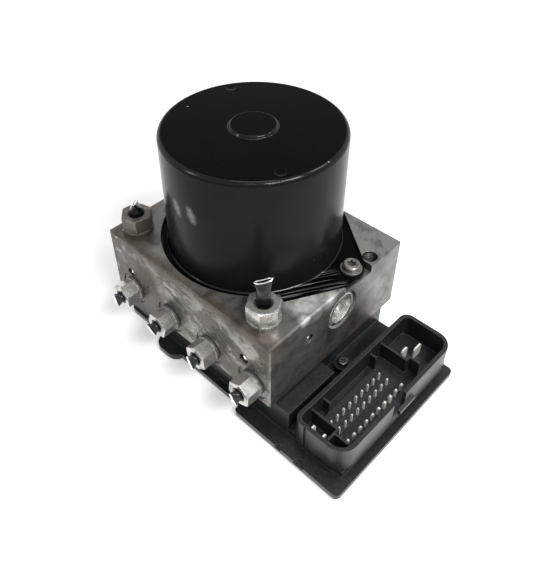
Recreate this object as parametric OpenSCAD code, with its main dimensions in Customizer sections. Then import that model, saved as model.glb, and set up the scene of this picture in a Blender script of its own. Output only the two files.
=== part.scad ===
// Anti-lock brake module: a pump motor stands on a drilled aluminium valve block, and the
// control unit with its multi-pin connector lies underneath.
// The origin is on the motor's axis at the underside of the control unit. +X points to the
// connector, -Y to the four outlet pipes and +Z up along the motor.

/* [Valve block] */
// Length of the valve block, left to right
block_len = 103.4; // [100:0.2:118]
// Width of the valve block, front to back
block_wid = 86.8; // [85:0.2:100]
// Height of the valve block
block_high = 38; // [37:0.5:50]
// How far the motor's axis lies left of the block's middle
motor_left = 3; // [1:0.1:5]
// How far the motor's axis lies behind the block's middle
motor_rear = 4.4; // [2:0.1:6]
// Chamfer on the block's edges
block_chamfer = 0.6; // [0.3:0.1:1.2]

/* [Pump motor] */
// Outer diameter of the motor can
can_d = 80; // [72:0.5:82]
// Height of the can above the top of the block
can_rise = 55; // [55:0.5:80]
// Sheet thickness of the can
can_wall = 2; // [1.2:0.1:2.4]
// Rounding of the can's top edge
can_round = 2.2; // [1.5:0.1:4]
// Diameter of the bearing boss on top of the can
boss_d = 20.5; // [19.5:0.5:26]
// Height of the bearing boss above the can's top
boss_rise = 1.3; // [0.8:0.1:3]
// Width of the can's flange outside its wall
flange_wid = 3.2; // [2.5:0.1:4.5]
// Thickness of the can's flange
flange_thick = 2; // [1.5:0.1:2.4]
// Depth of the motor's pocket in the block
pocket_deep = 4; // [3:0.2:6]
// Gap between the flange and the pocket's wall
pocket_gap = 0.6; // [0.3:0.1:1.2]
// Distance of the flange screws from the motor's axis
screw_reach = 49.4; // [48:0.2:51]
// Directions of the two flange screws
screw_turns = [12.5, 145];
// Distance of the flange's straight side from the motor's axis
bay_reach = 48; // [46:0.2:49]
// Direction that the flange's straight side faces
bay_turn = -28.7; // [-32:0.5:-25]
// Diameter of the motor's shaft
shaft_d = 8; // [7:0.2:9]
// Offset of the eccentric that drives the pump pistons
eccentric = 1.5; // [0.8:0.1:2]

/* [Pump and ports] */
// Depth of the pump's axis below the top of the block
pump_down = 13.5; // [13:0.1:15]
// Position of the pump's axis in front of the motor's axis
pump_front = 2; // [0:0.1:3]
// Diameter of a pump piston
piston_d = 8; // [6:0.2:9]
// Diameter of the pump plugs in the end faces
plug_d = 17; // [15:0.2:18]
// Distance between the four outlet ports
outlet_pitch = 26.6; // [24:0.1:28]
// Shift of the row of outlets to the right of the block's middle
outlet_shift = 1.7; // [0:0.1:2.5]
// Height of the outlets above the block's underside
outlet_up = 8.5; // [8:0.1:12]
// Thread diameter of the outlet ports
outlet_d = 10; // [9:0.2:11]
// Width across the flats of the outlet nuts
outlet_hex = 11; // [11:0.5:13]
// Length of an outlet nut outside the block
outlet_nut_len = 8.3; // [7:0.1:11]
// Thread diameter of the inlet ports
inlet_d = 12; // [11:0.2:13]
// Width across the flats of the inlet nuts
inlet_hex = 13; // [13:0.5:15]
// Height of an inlet nut above the block
inlet_nut_len = 9; // [7:0.1:12]
// Diameter of the outlet pipes
outlet_pipe_d = 4.75; // [4.2:0.05:5.2]
// Diameter of the inlet pipes
inlet_pipe_d = 6; // [5:0.1:7]
// Length of an outlet pipe stub outside its nut
outlet_stub = 3.4; // [2:0.1:8]
// Height of the right inlet pipe stub above its nut
inlet_stub_right = 12; // [6:0.5:16]
// Height of the left inlet pipe stub above its nut
inlet_stub_left = 6; // [4:0.5:16]
// Distance of the inlets from the block's front face
inlet_back = 10.4; // [10:0.1:13]
// Distance of the right inlet from the block's right face
inlet_in_right = 13.3; // [12:0.1:14]
// Distance of the left inlet from the block's left face
inlet_in_left = 9; // [8.5:0.1:10.5]
// Diameter of the threaded hole for the bracket
bracket_hole_d = 6.8; // [5:0.2:7]
// Depth of the threaded hole for the bracket
bracket_hole_deep = 14; // [10:0.5:18]

/* [Control unit] */
// Height of the control unit from its underside to the block
unit_high = 20; // [19:0.5:26]
// Thickness of the bottom cover
cover_thick = 1.6; // [1:0.1:2]
// Height of the base plate's top above the underside
plate_high = 4.2; // [4:0.1:6]
// How far the base plate reaches out past the block's right face
plate_reach = 40.5; // [40:0.1:46]
// How far the wide end of the base plate steps out in front
plate_step = 4.1; // [3:0.1:6]
// Wall of the control unit's housing
unit_wall = 2; // [1.6:0.1:2.4]
// Height of the connector's rim above the underside
rim_high = 22; // [22:0.2:26]
// Length of the connector shroud, front to back
shroud_len = 80.7; // [80:0.1:82]
// Width of the connector shroud
shroud_wid = 26.8; // [26.5:0.1:27.6]
// Wall of the connector shroud
shroud_wall = 1.9; // [1.5:0.1:2.2]
// Distance between neighbouring connector pins
pin_pitch = 4.2; // [3.9:0.05:4.25]
// Height of the pins' tips above the underside
pin_tip = 17; // [16:0.1:17.4]
// Height of the ledges that the pins stand on
pin_ledge = 12.5; // [11:0.1:13.5]
// Thickness of the circuit board
board_thick = 1.6; // [1:0.1:2]
// Distance of the outermost valves from the block's left face
valve_edge = 15.7; // [15:0.1:17]
// Diameter of the valve coils
coil_d = 17; // [15:0.2:18]

/* [Fits] */
// Radial clearance of a running fit
run_gap = 0.05; // [0.02:0.01:0.08]
// Gap between pieces that are assembled and stay put
seat_gap = 0.05; // [0.03:0.01:0.1]

/* [Hidden] */
$fn = 96;

cut = 1;
air = 0.4;

// Block faces and heights
left = motor_left - block_len / 2;
right = motor_left + block_len / 2;
front = -motor_rear - block_wid / 2;
back = block_wid / 2 - motor_rear;
under = unit_high;
top = under + block_high;

// Motor heights and radii, from the pocket's floor upwards
floor_z = top - pocket_deep;
can_r = can_d / 2;
can_in = can_r - can_wall;
can_top = top + can_rise;
flange_r = can_r + flange_wid;
shaft_r = shaft_d / 2;
ear_r = 5.6;
screw_deep = 11;
screw_bore_r = 2.5;
screw_shank_r = 2.45;
screw_len = 10;
screw_washer_r = 4.8;
screw_head_r = 3.9;
screw_head_high = 3.4;
bay_low = -2;
boss_r = boss_d / 2;
boss_wall = 1.6;
seat_in = boss_r - boss_wall;
upper_bearing_high = 5;
shield_thick = 4;
shield_top = floor_z + shield_thick;
spigot_r = 17;
spigot_deep = 4;
lower_bearing_r = 11;
lower_bearing_high = 7;
lower_bearing_z = floor_z - spigot_deep + 0.5;
magnet_thick = 3.4;
magnet_air = 0.9;
core_r = can_in - magnet_thick - magnet_air;
core_lift = 17;
core_low = shield_top + core_lift;
core_air = 2.5;
end_turn_high = 4.5;
core_high = can_top - can_wall - upper_bearing_high - end_turn_high - core_air - core_low;
slot_count = 12;
slot_r = 3.6;
slot_in = 7.5;
slot_place = core_r - slot_in;
slot_mouth = 1.8;
turns_set = 2.5;
turns_out = core_r - turns_set;
turns_in = 14;
commutator_r = 10.5;
commutator_high = 11;
commutator_low = shield_top + 1.4;
holder_thick = 3;
holder_hole_r = commutator_r + 2;
brush_wid = 6;
brush_high = 5;
brush_len = 12;
brush_box_wall = 1.2;
brush_box_len = 20;
brush_box_start = commutator_r + 2.5;
brush_box_end = brush_box_start + brush_box_len - brush_box_wall;
brush_z = shield_top + holder_thick + brush_box_wall;

// Pump chamber, pistons and plugs
pump_z = top - pump_down;
pump_y = -pump_front;
chamber_r = 15.5;
chamber_deep = pump_down + 7.5;
ring_in = shaft_r + 2;
ring_out = ring_in + 4;
ring_high = 8;
piston_r = piston_d / 2;
drive_gap = 0.3;
piston_in = ring_out + eccentric + drive_gap;
collar_r = piston_r + 1.8;
collar_len = 2.5;
stop_gap = 0.3;
guide_len = 7;
guide_end = chamber_r + guide_len;
collar_start = guide_end + stop_gap;
barrel_r = collar_r + 0.6;
plug_r = plug_d / 2;
plug_len = 11;
spring_wire = 0.9;

// Pressure accumulators in the underside of the block
store_edge = 23.7;
store_x = -left - store_edge;
store_y = 21;
store_r = 10;
store_deep = 22;
store_piston_high = 8;
store_cap_high = 3;
store_air = 0.3;
store_cup = 2.5;
store_piston_z = under + store_deep - store_piston_high - store_air;

// Ports in the front face and in the top
outlet_z = under + outlet_up;
outlet_mid = motor_left + outlet_shift;
outlet_deep = 13.5;
inlet_deep = 12;
inlet_y = front + inlet_back;
inlet_x_right = right - inlet_in_right;
inlet_x_left = left + inlet_in_left;
collar_high = 1.6;
shank_gap = 0.08;
pipe_gap = 0.08;
bracket_x = right - 4.1;
bracket_y = 20.9;
ball_r = 2.4;
ball_deep = 0.5;
ball_bore = 7;
ball_in_left = 13;
ball_up_left = 18.5;
ball_in_right = 14.8;
ball_up_right = 20;
ball_side_in = 23.6;
ball_side_up = 24.5;
ball_places_front = [
    [left + ball_in_left, under + ball_up_left],
    [right - ball_in_right, under + ball_up_right]
];
ball_place_right = [front + ball_side_in, under + ball_side_up];
spot_r = 8.4;
spot_deep = 0.5;

// Valves in two rows on the underside of the block
valve_pitch = (-left - valve_edge) / 1.5;
valve_rows = [-27, -5];
valve_r = 4;
valve_deep = 12;
valve_collar_r = 5.4;
valve_collar_high = 1.4;
valve_tube_r = 3.2;
base_top = 8;
valve_end = base_top + 0.2;
coil_low = base_top + 0.6;
coil_air = 2;
coil_high = under - coil_air - coil_low;
coil_r = coil_d / 2;
passage_r = 1.4;
cross_up = 5;
terminal_y = 26;
terminal_r = 4;
terminal_wid = 3;
terminal_thick = 0.8;
terminal_gap = 2.4;

// Control unit outlines
plate_right = right + plate_reach;
plate_back = back - 4;
plate_left = -left + 0.3;
plate_step_x = right - 20.7;
plate_near = front + 0.2;
plate_front = plate_step - plate_near;
plate_setback = 2.6;
plate_round = 5;
tab_x = -12.5;
tab_wid = 17;
tab_round = 6.5;
base_roof = 1.6;
deck_top = 10.4;
deck_roof = deck_top - base_roof;
root_z = deck_top - 0.5;
box_left = left + 2.7;
box_right = right - 2.2;
box_front = -front - 3.8;
box_back = back - 4.5;
base_front = box_front - 0.5;
base_back = box_back - 1.7;
gasket_thick = 0.8;
box_top = unit_high - gasket_thick;
wing_right = right + 7.3;
wing_back = -14;
ledge_wid = 2;
shroud_set = 3;
skirt_in = 1.2;
shroud_right = plate_right - shroud_set;
base_right = shroud_right - skirt_in;
shroud_left = shroud_right - shroud_wid;
shroud_front = 6.2 - plate_front;
shroud_back = shroud_front + shroud_len;
shroud_round = 8;
shroud_round_in = 4.5;
divider_top = rim_high - 3;
divider_thick = 1;
divider_front = shroud_front + 10.4;
divider_back = shroud_back - 21.3;
divider_end = 3.7;
rib_y = [shroud_front + 17.9, shroud_front + 51];
rib_len = 3;
divider_jog = 2.3;
divider_turn_x = shroud_right - 11.2;
pin_rows_inner = [shroud_right - 16.4, shroud_right - 12.1];
pin_row_outer = shroud_right - 5.9;
pins_inner = 9;
pins_outer = 10;
pin_wid = 0.9;
pin_wid_outer = 1.3;
pins_mid_y = shroud_front + 29.5;
blade_thick = 0.8;
blade_point = 0.8;
blades = [
    [shroud_right - 20, shroud_front + 5.3, 3],
    [shroud_right - 14.2, shroud_front + 5.3, 3],
    [shroud_right - 16, shroud_back - 15.2, 4.5],
    [shroud_right - 12.6, shroud_back - 9.6, 5.5]
];
ledge_in = 3.5;
ledge_edge = divider_turn_x;
ledge_outer = shroud_right - 8.4;
ledge_back = pins_mid_y + 18.5;
scallop_deep = 1.6;
scallops = [[shroud_right - 29.3, 1.6], [shroud_right - 17.8, 2.6]];
notch_y = [shroud_front + 33.6, shroud_front + 42.4];
notch_low = rim_high - 9;
board_gap = 0.3;
board_top = plate_high + 0.6;
board_z = board_top - board_thick;
screw_post = [right + 3.8, -2.6];
screw_post_r = 4.2;
screw_post_high = 12;
post_screw_r = 1.5;
post_head_r = 2.5;
post_head_high = 1.8;
latch_y = [shroud_front + 37.5, shroud_front + 48.5];
latch_low = deck_top + 1;
latch_high = 4;
latch_out = 1.4;

// Small helpers
function arc(c, r, a, b, n) = [
    for (i = [0:n]) let (turn = a + (b - a) * i / n) c + r * [cos(turn), sin(turn)]
];

module rounded_rect(x0, x1, y0, y1, r_left, r_right) {
    polygon(concat(
        arc([x0 + r_left, y0 + r_left], r_left, 180, 270, 10),
        arc([x1 - r_right, y0 + r_right], r_right, 270, 360, 10),
        arc([x1 - r_right, y1 - r_right], r_right, 0, 90, 10),
        arc([x0 + r_left, y1 - r_left], r_left, 90, 180, 10)
    ));
}

module chamfered_rect(w, d, c) {
    polygon([[c, 0], [w - c, 0], [w, c], [w, d - c], [w - c, d], [c, d], [0, d - c], [0, c]]);
}

module chamfered_box(w, d, h, c) {
    intersection() {
        linear_extrude(h) chamfered_rect(w, d, c);
        translate([0, d, 0]) rotate([90, 0, 0]) linear_extrude(d) chamfered_rect(w, h, c);
        rotate([90, 0, 90]) linear_extrude(w) chamfered_rect(d, h, c);
    }
}

// Two arms of one circle round another, as a flange's ear leaves its rim
module lobe(big, small, reach, turn) {
    spread = acos((big - small) / reach);
    edge = [cos(spread), sin(spread)];
    rotate(turn) {
        polygon([
            big * edge, [reach, 0] + small * edge,
            [reach, 0] + small * [edge[0], -edge[1]], big * [edge[0], -edge[1]]
        ]);
        translate([reach, 0]) circle(r = small);
    }
}

// Outline of the motor flange: round with an ear for each screw, and one straight side
module flange_ears(grow) {
    circle(r = flange_r + grow);
    for (turn = screw_turns) lobe(flange_r + grow, ear_r + grow, screw_reach, turn);
}

module flange_side(grow) {
    bay_end = screw_reach * sin(screw_turns[0] - bay_turn);
    rotate(bay_turn) translate([0, bay_low - grow])
        square([bay_reach + grow, bay_end - bay_low + grow]);
}

module passage(from, to, r) {
    way = to - from;
    flat = norm([way[0], way[1]]);
    translate(from) rotate([0, atan2(flat, way[2]), atan2(way[1], way[0])])
        cylinder(r = r, h = norm(way), $fn = 32);
}

// Hexagon tube nut along +Z: threaded shank below the face, round collar, chamfered hexagon
module tube_nut(hex, len, thread_d, shank, pipe_d) {
    reach = hex / sqrt(3);
    collar = hex / 2 + 0.7;
    slope = reach - hex / 2;
    difference() {
        union() {
            translate([0, 0, -shank])
                cylinder(d = thread_d - 2 * shank_gap, h = shank + collar_high);
            cylinder(r = collar, h = collar_high);
            intersection() {
                cylinder(r = reach, h = len, $fn = 6);
                rotate_extrude() polygon([
                    [0, 0], [reach + 1, 0], [reach + 1, len - slope * 0.6],
                    [hex / 2 + slope * 0.2, len - slope * 0.1], [hex / 2 - 0.4, len], [0, len]
                ]);
            }
        }
        translate([0, 0, -shank - cut])
            cylinder(d = pipe_d + 2 * pipe_gap, h = shank + len + 2 * cut);
        translate([0, 0, len - 1])
            cylinder(d1 = pipe_d + 2 * pipe_gap, d2 = pipe_d + 2.2, h = 1.01);
    }
}

// Pipe stub along +Z, hollow below and pinched flat where it was cut
module pinched_pipe(d, wall, deep, high, squeeze, turn) {
    flat_wid = d * PI / 2 * 0.88;
    flat_thick = wall * 1.6;
    difference() {
        translate([0, 0, -deep]) cylinder(d = d, h = deep + high - squeeze);
        translate([0, 0, -deep - cut]) cylinder(d = d - 2 * wall, h = deep + high - squeeze);
    }
    rotate(turn) hull() {
        translate([0, 0, high - squeeze - 0.3]) cylinder(d = d - 0.1, h = 0.3, $fn = 32);
        translate([-flat_wid / 2, -flat_thick / 2, high - 0.6]) cube([flat_wid, flat_thick, 0.6]);
    }
}

// Coil spring along +Z, with its ends squared off by closer turns
module coil_spring(r, wire, len, turns) {
    sides = 8;
    steps = turns * 14;
    low = wire / 2;
    high = len - wire / 2;
    close = 0.14;
    slow = 0.25;
    even = (1 - 2 * close * slow) / (1 - 2 * close);
    function rise(t) =
        t < close ? slow * t :
        t > 1 - close ? 1 - slow * (1 - t) :
        close * slow + (t - close) * even;
    points = [for (i = [0:steps], k = [0:sides - 1])
        let (t = i / steps, a = 360 * turns * t, b = 360 * k / sides, out = r + wire / 2 * cos(b))
        [out * cos(a), out * sin(a), low + (high - low) * rise(t) + wire / 2 * sin(b)]];
    rings = [for (i = [0:steps - 1], k = [0:sides - 1])
        let (n = (k + 1) % sides)
        [i * sides + k, i * sides + n, (i + 1) * sides + n, (i + 1) * sides + k]];
    last = steps * sides;
    caps = [[for (k = [0:sides - 1]) sides - 1 - k], [for (k = [0:sides - 1]) last + k]];
    polyhedron(points, concat(rings, caps), convexity = 10);
}

// Deep-drawn motor can with its flange, bearing boss and two pressed marks on top
module motor_can() {
    foot = 1.2;
    flange_in = 1;
    outer = concat(
        [[0, floor_z], [flange_r, floor_z], [flange_r, floor_z + flange_thick]],
        arc([can_r + foot, floor_z + flange_thick + foot], foot, 270, 180, 6),
        arc([can_r - can_round, can_top - can_round], can_round, 0, 90, 10),
        arc([boss_r + 0.8, can_top + 0.8], 0.8, 270, 225, 3),
        arc([boss_r - 1, can_top + boss_rise - 1], 1, 40, 90, 6),
        [[0, can_top + boss_rise]]
    );
    bend = 1.5;
    seat_low = can_top - can_wall - upper_bearing_high + 1;
    inner = [
        [0, floor_z - cut], [can_in, floor_z - cut],
        [can_in, can_top - can_wall - bend], [can_in - bend, can_top - can_wall],
        [boss_r, can_top - can_wall], [boss_r, seat_low], [seat_in, seat_low],
        [seat_in, can_top + boss_rise - boss_wall], [0, can_top + boss_rise - boss_wall]
    ];
    mark_reach = can_r - 5.5;
    mark_r = 9;
    mark_deep = 0.35;
    mark_turn = -28.5;
    color("#1c1d1f") difference() {
        union() {
            rotate_extrude() polygon(outer);
            translate([0, 0, floor_z]) linear_extrude(flange_thick) {
                flange_ears(0);
                intersection() {
                    flange_side(0);
                    translate([0, front]) square([right - flange_in, block_wid]);
                }
            }
        }
        rotate_extrude() polygon(inner);
        for (turn = [mark_turn, mark_turn + 180]) rotate(turn)
            translate([mark_reach, 0, can_top + mark_r - mark_deep]) sphere(r = mark_r);
        for (turn = screw_turns) rotate(turn) translate([screw_reach, 0, floor_z - cut])
            cylinder(r = screw_bore_r + 0.2, h = flange_thick + 2 * cut);
    }
}

// Aluminium valve block with its motor pocket, pump bores, ports, valve and accumulator bores
module hydraulic_block() {
    color("#a3a29d") difference() {
        translate([left, front, under]) chamfered_box(block_len, block_wid, block_high, block_chamfer);
        translate([0, 0, floor_z]) linear_extrude(pocket_deep + cut) {
            flange_ears(pocket_gap);
            flange_side(pocket_gap);
            rotate(screw_turns[0]) translate([screw_reach, 0]) rotate(-screw_turns[0])
                translate([0, -ear_r - pocket_gap]) square([20, 2 * (ear_r + pocket_gap)]);
        }
        translate([0, 0, floor_z - spigot_deep])
            cylinder(r = spigot_r + run_gap, h = spigot_deep + cut);
        translate([0, 0, top - chamber_deep]) cylinder(r = chamber_r, h = chamber_deep);
        for (turn = screw_turns) rotate(turn) translate([screw_reach, 0, floor_z - screw_deep])
            cylinder(r = screw_bore_r, h = screw_deep + cut);
        translate([0, terminal_y, under - cut])
            cylinder(r = terminal_r + seat_gap, h = block_high);
        pump_bore(right, 1);
        pump_bore(left, -1);
        ports();
        for (side = [-1, 1]) translate([side * store_x, store_y, under - cut])
            cylinder(r = store_r, h = store_deep + cut);
        for (x = [-1.5:1.5], y = valve_rows) translate([x * valve_pitch, y, under - cut])
            cylinder(r = valve_r + seat_gap, h = valve_deep + cut);
        for (i = [-1.5:1.5]) {
            port = [outlet_mid + i * outlet_pitch, front + outlet_deep - 0.5, outlet_z];
            passage(port, [i * valve_pitch, valve_rows[0], outlet_z], passage_r);
            passage(
                [i * valve_pitch, valve_rows[0], under + cross_up],
                [i * valve_pitch, valve_rows[1], under + cross_up], passage_r);
        }
    }
}

module pump_bore(face, side) {
    len = abs(face);
    translate([0, pump_y, pump_z]) rotate([0, side * 90, 0]) {
        cylinder(r = piston_r + run_gap, h = guide_end + cut);
        translate([0, 0, guide_end]) cylinder(r = barrel_r, h = len - guide_end);
        translate([0, 0, len - plug_len]) cylinder(r = plug_r, h = plug_len + cut);
        translate([0, 0, len - 0.8]) cylinder(r1 = plug_r, r2 = plug_r + 1, h = 0.81);
    }
}

module ports() {
    for (i = [-1.5:1.5]) translate([outlet_mid + i * outlet_pitch, front, outlet_z]) rotate([-90, 0, 0]) {
        translate([0, 0, -cut]) cylinder(d = outlet_d, h = outlet_deep + cut);
        translate([0, 0, -cut]) cylinder(r = spot_r, h = spot_deep + cut);
    }
    for (x = [inlet_x_left, inlet_x_right]) translate([x, inlet_y, top - inlet_deep]) {
        cylinder(d = inlet_d, h = inlet_deep + cut);
        translate([0, 0, -9]) cylinder(r = passage_r, h = 10);
    }
    translate([bracket_x, bracket_y, top - bracket_hole_deep])
        cylinder(d = bracket_hole_d, h = bracket_hole_deep + cut);
    for (p = ball_places_front) translate([p[0], front - cut, p[1]]) rotate([-90, 0, 0])
        cylinder(r = ball_r + seat_gap, h = ball_bore + cut);
    translate([right + cut, ball_place_right[0], ball_place_right[1]]) rotate([0, -90, 0])
        cylinder(r = ball_r + seat_gap, h = ball_bore + cut);
}

// Steel balls pressed into the ends of the cross drillings
module ball_plugs() {
    color("#8d8b86") {
        for (p = ball_places_front) translate([p[0], front + ball_deep + ball_r, p[1]])
            sphere(r = ball_r);
        translate([right - ball_deep - ball_r, ball_place_right[0], ball_place_right[1]])
            sphere(r = ball_r);
    }
}

module magnets() {
    sweep = 132;
    color("#3a3a3e") for (turn = [0, 180]) rotate(turn - sweep / 2) translate([0, 0, core_low - 1])
        rotate_extrude(angle = sweep) translate([can_in - magnet_thick, 0])
            square([magnet_thick - seat_gap, core_high + 2]);
}

// Bearing shield that closes the motor and centres it in the block
module end_shield() {
    color("#b9bcc0") difference() {
        union() {
            translate([0, 0, floor_z]) cylinder(r = can_in - seat_gap, h = shield_thick);
            translate([0, 0, floor_z - spigot_deep]) cylinder(r = spigot_r, h = spigot_deep + 0.5);
        }
        translate([0, 0, lower_bearing_z])
            cylinder(r = lower_bearing_r + seat_gap, h = lower_bearing_high + shield_thick + cut);
        translate([0, 0, floor_z - spigot_deep - cut])
            cylinder(r = lower_bearing_r - 1.5, h = shield_thick + spigot_deep + 3 * cut);
        translate([0, terminal_y, floor_z - cut])
            cylinder(r = terminal_r + seat_gap, h = shield_thick + 2 * cut);
    }
}

module ring_bearing(r_in, r_out, high) {
    groove = 0.35;
    land = (r_out - r_in) * 0.28;
    rotate_extrude() polygon([
        [r_in, 0], [r_in + land, 0], [r_in + land, groove],
        [r_out - land, groove], [r_out - land, 0], [r_out, 0],
        [r_out, high], [r_out - land, high], [r_out - land, high - groove],
        [r_in + land, high - groove], [r_in + land, high], [r_in, high]
    ]);
}

module upper_bearing() {
    color("#c9ccd0") translate([0, 0, can_top + boss_rise - boss_wall - upper_bearing_high])
        ring_bearing(shaft_r + run_gap, seat_in - seat_gap, upper_bearing_high);
}

module lower_bearing() {
    color("#c9ccd0") translate([0, 0, lower_bearing_z])
        ring_bearing(shaft_r + run_gap, lower_bearing_r, lower_bearing_high);
}

module eccentric_bearing() {
    color("#c9ccd0") translate([0, eccentric, pump_z - ring_high / 2])
        ring_bearing(ring_in + seat_gap, ring_out, ring_high);
}

// Motor shaft with the eccentric for the pump at its lower end
module motor_shaft() {
    shaft_low = pump_z - ring_high / 2 - 1.5;
    shaft_high = can_top + boss_rise - boss_wall - 0.4;
    color("#cfd2d6") {
        translate([0, 0, shaft_low]) cylinder(r = shaft_r, h = shaft_high - shaft_low);
        translate([0, eccentric, pump_z - ring_high / 2]) cylinder(r = ring_in, h = ring_high);
    }
}

module armature_core() {
    color("#6f7276") translate([0, 0, core_low]) linear_extrude(core_high) difference() {
        circle(r = core_r);
        circle(r = shaft_r + seat_gap);
        for (i = [0:slot_count - 1]) rotate(360 * i / slot_count) {
            translate([slot_place, 0]) circle(r = slot_r, $fn = 32);
            translate([slot_place, -slot_mouth / 2]) square([core_r, slot_mouth]);
        }
    }
}

// Copper windings: a bar in each slot, joined by the end turns above and below the core
module armature_windings() {
    color("#b4682f") {
        for (i = [0:slot_count - 1]) rotate(360 * i / slot_count)
            translate([slot_place, 0, core_low - 1])
                cylinder(r = slot_r - 0.15, h = core_high + 2, $fn = 32);
        for (z = [core_low - end_turn_high, core_low + core_high + 0.1]) translate([0, 0, z]) rotate_extrude()
            polygon(concat(
                arc([turns_out - 1.6, 1.6], 1.6, 270, 360, 4),
                arc([turns_out - 1.6, end_turn_high - 1.7], 1.6, 0, 90, 4),
                [[turns_in, end_turn_high - 0.1], [turns_in, 0]]
            ));
    }
}

module commutator() {
    color("#b87742") translate([0, 0, commutator_low]) difference() {
        cylinder(r = commutator_r, h = commutator_high);
        translate([0, 0, -cut]) cylinder(r = shaft_r + seat_gap, h = commutator_high + 2 * cut);
        for (i = [0:slot_count - 1]) rotate(360 * i / slot_count)
            translate([commutator_r - 0.6, -0.3, 1]) cube([1, 0.6, commutator_high]);
    }
}

// Corner of a motor terminal, or of its slot when it grows
module terminal_place(side, grow, z) {
    translate([side * terminal_gap - terminal_thick / 2 - grow, terminal_y - terminal_wid / 2 - grow, z])
        children();
}

// Brush holder: insulating plate with a closed box for each brush
module brush_holder() {
    box_wid = brush_wid + 2 * brush_box_wall;
    box_high = brush_high + 2 * brush_box_wall;
    slot = 0.2;
    color("#4b443a") difference() {
        translate([0, 0, shield_top]) union() {
            difference() {
                cylinder(r = can_in - 1, h = holder_thick);
                translate([0, 0, -cut]) cylinder(r = holder_hole_r, h = holder_thick + 2 * cut);
            }
            for (turn = [0, 180]) rotate(turn)
                translate([brush_box_start, -box_wid / 2, holder_thick - 0.01])
                    cube([brush_box_len, box_wid, box_high]);
        }
        for (turn = [0, 180]) rotate(turn) translate([0, -brush_wid / 2 - seat_gap, brush_z - seat_gap])
            cube([brush_box_end, brush_wid + 2 * seat_gap, brush_high + 2 * seat_gap]);
        for (side = [-1, 1]) terminal_place(side, slot, shield_top - cut)
            cube([terminal_thick + 2 * slot, terminal_wid + 2 * slot, holder_thick + 2 * cut]);
    }
}

module brushes() {
    color("#2b2b2d") for (turn = [0, 180]) rotate(turn) difference() {
        translate([commutator_r - 1, -brush_wid / 2, brush_z])
            cube([brush_len + 1, brush_wid, brush_high]);
        translate([0, 0, brush_z - cut]) cylinder(r = commutator_r + air, h = brush_high + 2 * cut);
    }
}

module brush_springs() {
    start = commutator_r + brush_len;
    color("#d2d4d6") for (turn = [0, 180]) rotate(turn)
        translate([start, 0, brush_z + brush_high / 2]) rotate([0, 90, 0])
            coil_spring(1.8, 0.5, brush_box_end - start, 5);
}

// Round screw head with a rounded top edge
module screw_head(r, high, edge) {
    rotate_extrude() polygon(concat(
        [[0, 0], [r, 0]],
        arc([r - edge, high - edge], edge, 0, 90, 4),
        [[0, high]]
    ));
}

// Motor screw with a washer face and a six-lobed socket
module flange_screw() {
    lobe_reach = 1.75;
    difference() {
        union() {
            cylinder(r = screw_washer_r, h = 1);
            screw_head(screw_head_r, screw_head_high, 0.8);
            translate([0, 0, -flange_thick - screw_len])
                cylinder(r = screw_shank_r, h = flange_thick + screw_len + 0.5);
        }
        translate([0, 0, screw_head_high - 1.8]) linear_extrude(screw_head_high) {
            circle(r = lobe_reach - 0.05, $fn = 32);
            for (i = [0:5]) rotate(60 * i) translate([lobe_reach, 0]) circle(r = 0.5, $fn = 16);
        }
    }
}

module motor_screws() {
    color("#c5c4bf") for (turn = screw_turns) rotate(turn)
        translate([screw_reach, 0, floor_z + flange_thick]) flange_screw();
}

// Pump pistons lie across the shaft and follow the eccentric from both sides
module pump_piston(side) {
    color("#d5d7da") translate([0, pump_y, pump_z]) rotate([0, side * 90, 0]) {
        translate([0, 0, piston_in])
            cylinder(r = piston_r, h = collar_start + collar_len - piston_in);
        translate([0, 0, collar_start]) cylinder(r = collar_r, h = collar_len);
        translate([0, 0, collar_start + collar_len - 0.01]) cylinder(r = piston_r - 1.5, h = 3);
    }
}

module pump_spring(face, side) {
    start = collar_start + collar_len;
    color("#cfd1d4") translate([0, pump_y, pump_z]) rotate([0, side * 90, 0]) translate([0, 0, start])
        coil_spring(piston_r + 0.2, spring_wire, abs(face) - plug_len - start, 5);
}

// Turned plug with a recessed centre, pressed and staked into the pump bore
module pump_plug(face, side) {
    rim = plug_len - 0.5;
    cup = rim - 2.2;
    color("#b8b7b2") translate([0, pump_y, pump_z]) rotate([0, side * 90, 0])
        translate([0, 0, abs(face) - plug_len]) rotate_extrude() polygon([
            [0, 0], [plug_r - seat_gap, 0], [plug_r - seat_gap, rim - 0.5], [plug_r - 0.6, rim],
            [plug_r - 1.9, rim], [plug_r - 2.5, cup], [2.2, cup], [1.6, cup - 0.8], [0, cup - 1.2]
        ]);
}

module accumulator_piston(side) {
    groove = 1;
    edge = 0.5;
    wall = store_r - run_gap;
    color("#9a9da1") translate([side * store_x, store_y, store_piston_z]) rotate_extrude()
        polygon([
            [0, store_cup], [store_r - 3, store_cup], [store_r - 3, 0], [wall, 0], [wall, 3],
            [store_r - groove, 3], [store_r - groove, 5], [wall, 5],
            [wall, store_piston_high - edge], [wall - edge, store_piston_high], [0, store_piston_high]
        ]);
}

module accumulator_spring(side) {
    start = under + store_cap_high;
    color("#cfd1d4") translate([side * store_x, store_y, start])
        coil_spring(store_r - 4.5, 1.1, store_piston_z + store_cup - start, 4);
}

module accumulator_caps() {
    color("#b5b6b4") for (side = [-1, 1]) translate([side * store_x, store_y, under]) difference() {
        cylinder(r = store_r - seat_gap, h = store_cap_high);
        translate([0, 0, -cut]) cylinder(r = store_r - 3, h = 1.2 + cut);
    }
}

module inlet_nut(x, turn) {
    color("#bdbab2") translate([x, inlet_y, top]) rotate(turn)
        tube_nut(inlet_hex, inlet_nut_len, inlet_d, inlet_deep - 2, inlet_pipe_d);
}

module inlet_pipe(x, stub, turn) {
    high = inlet_nut_len + stub;
    color("#2c2b2a") translate([x, inlet_y, top])
        pinched_pipe(inlet_pipe_d, 1, inlet_deep - 3, high, min(stub - 1, 7), turn);
}

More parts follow.
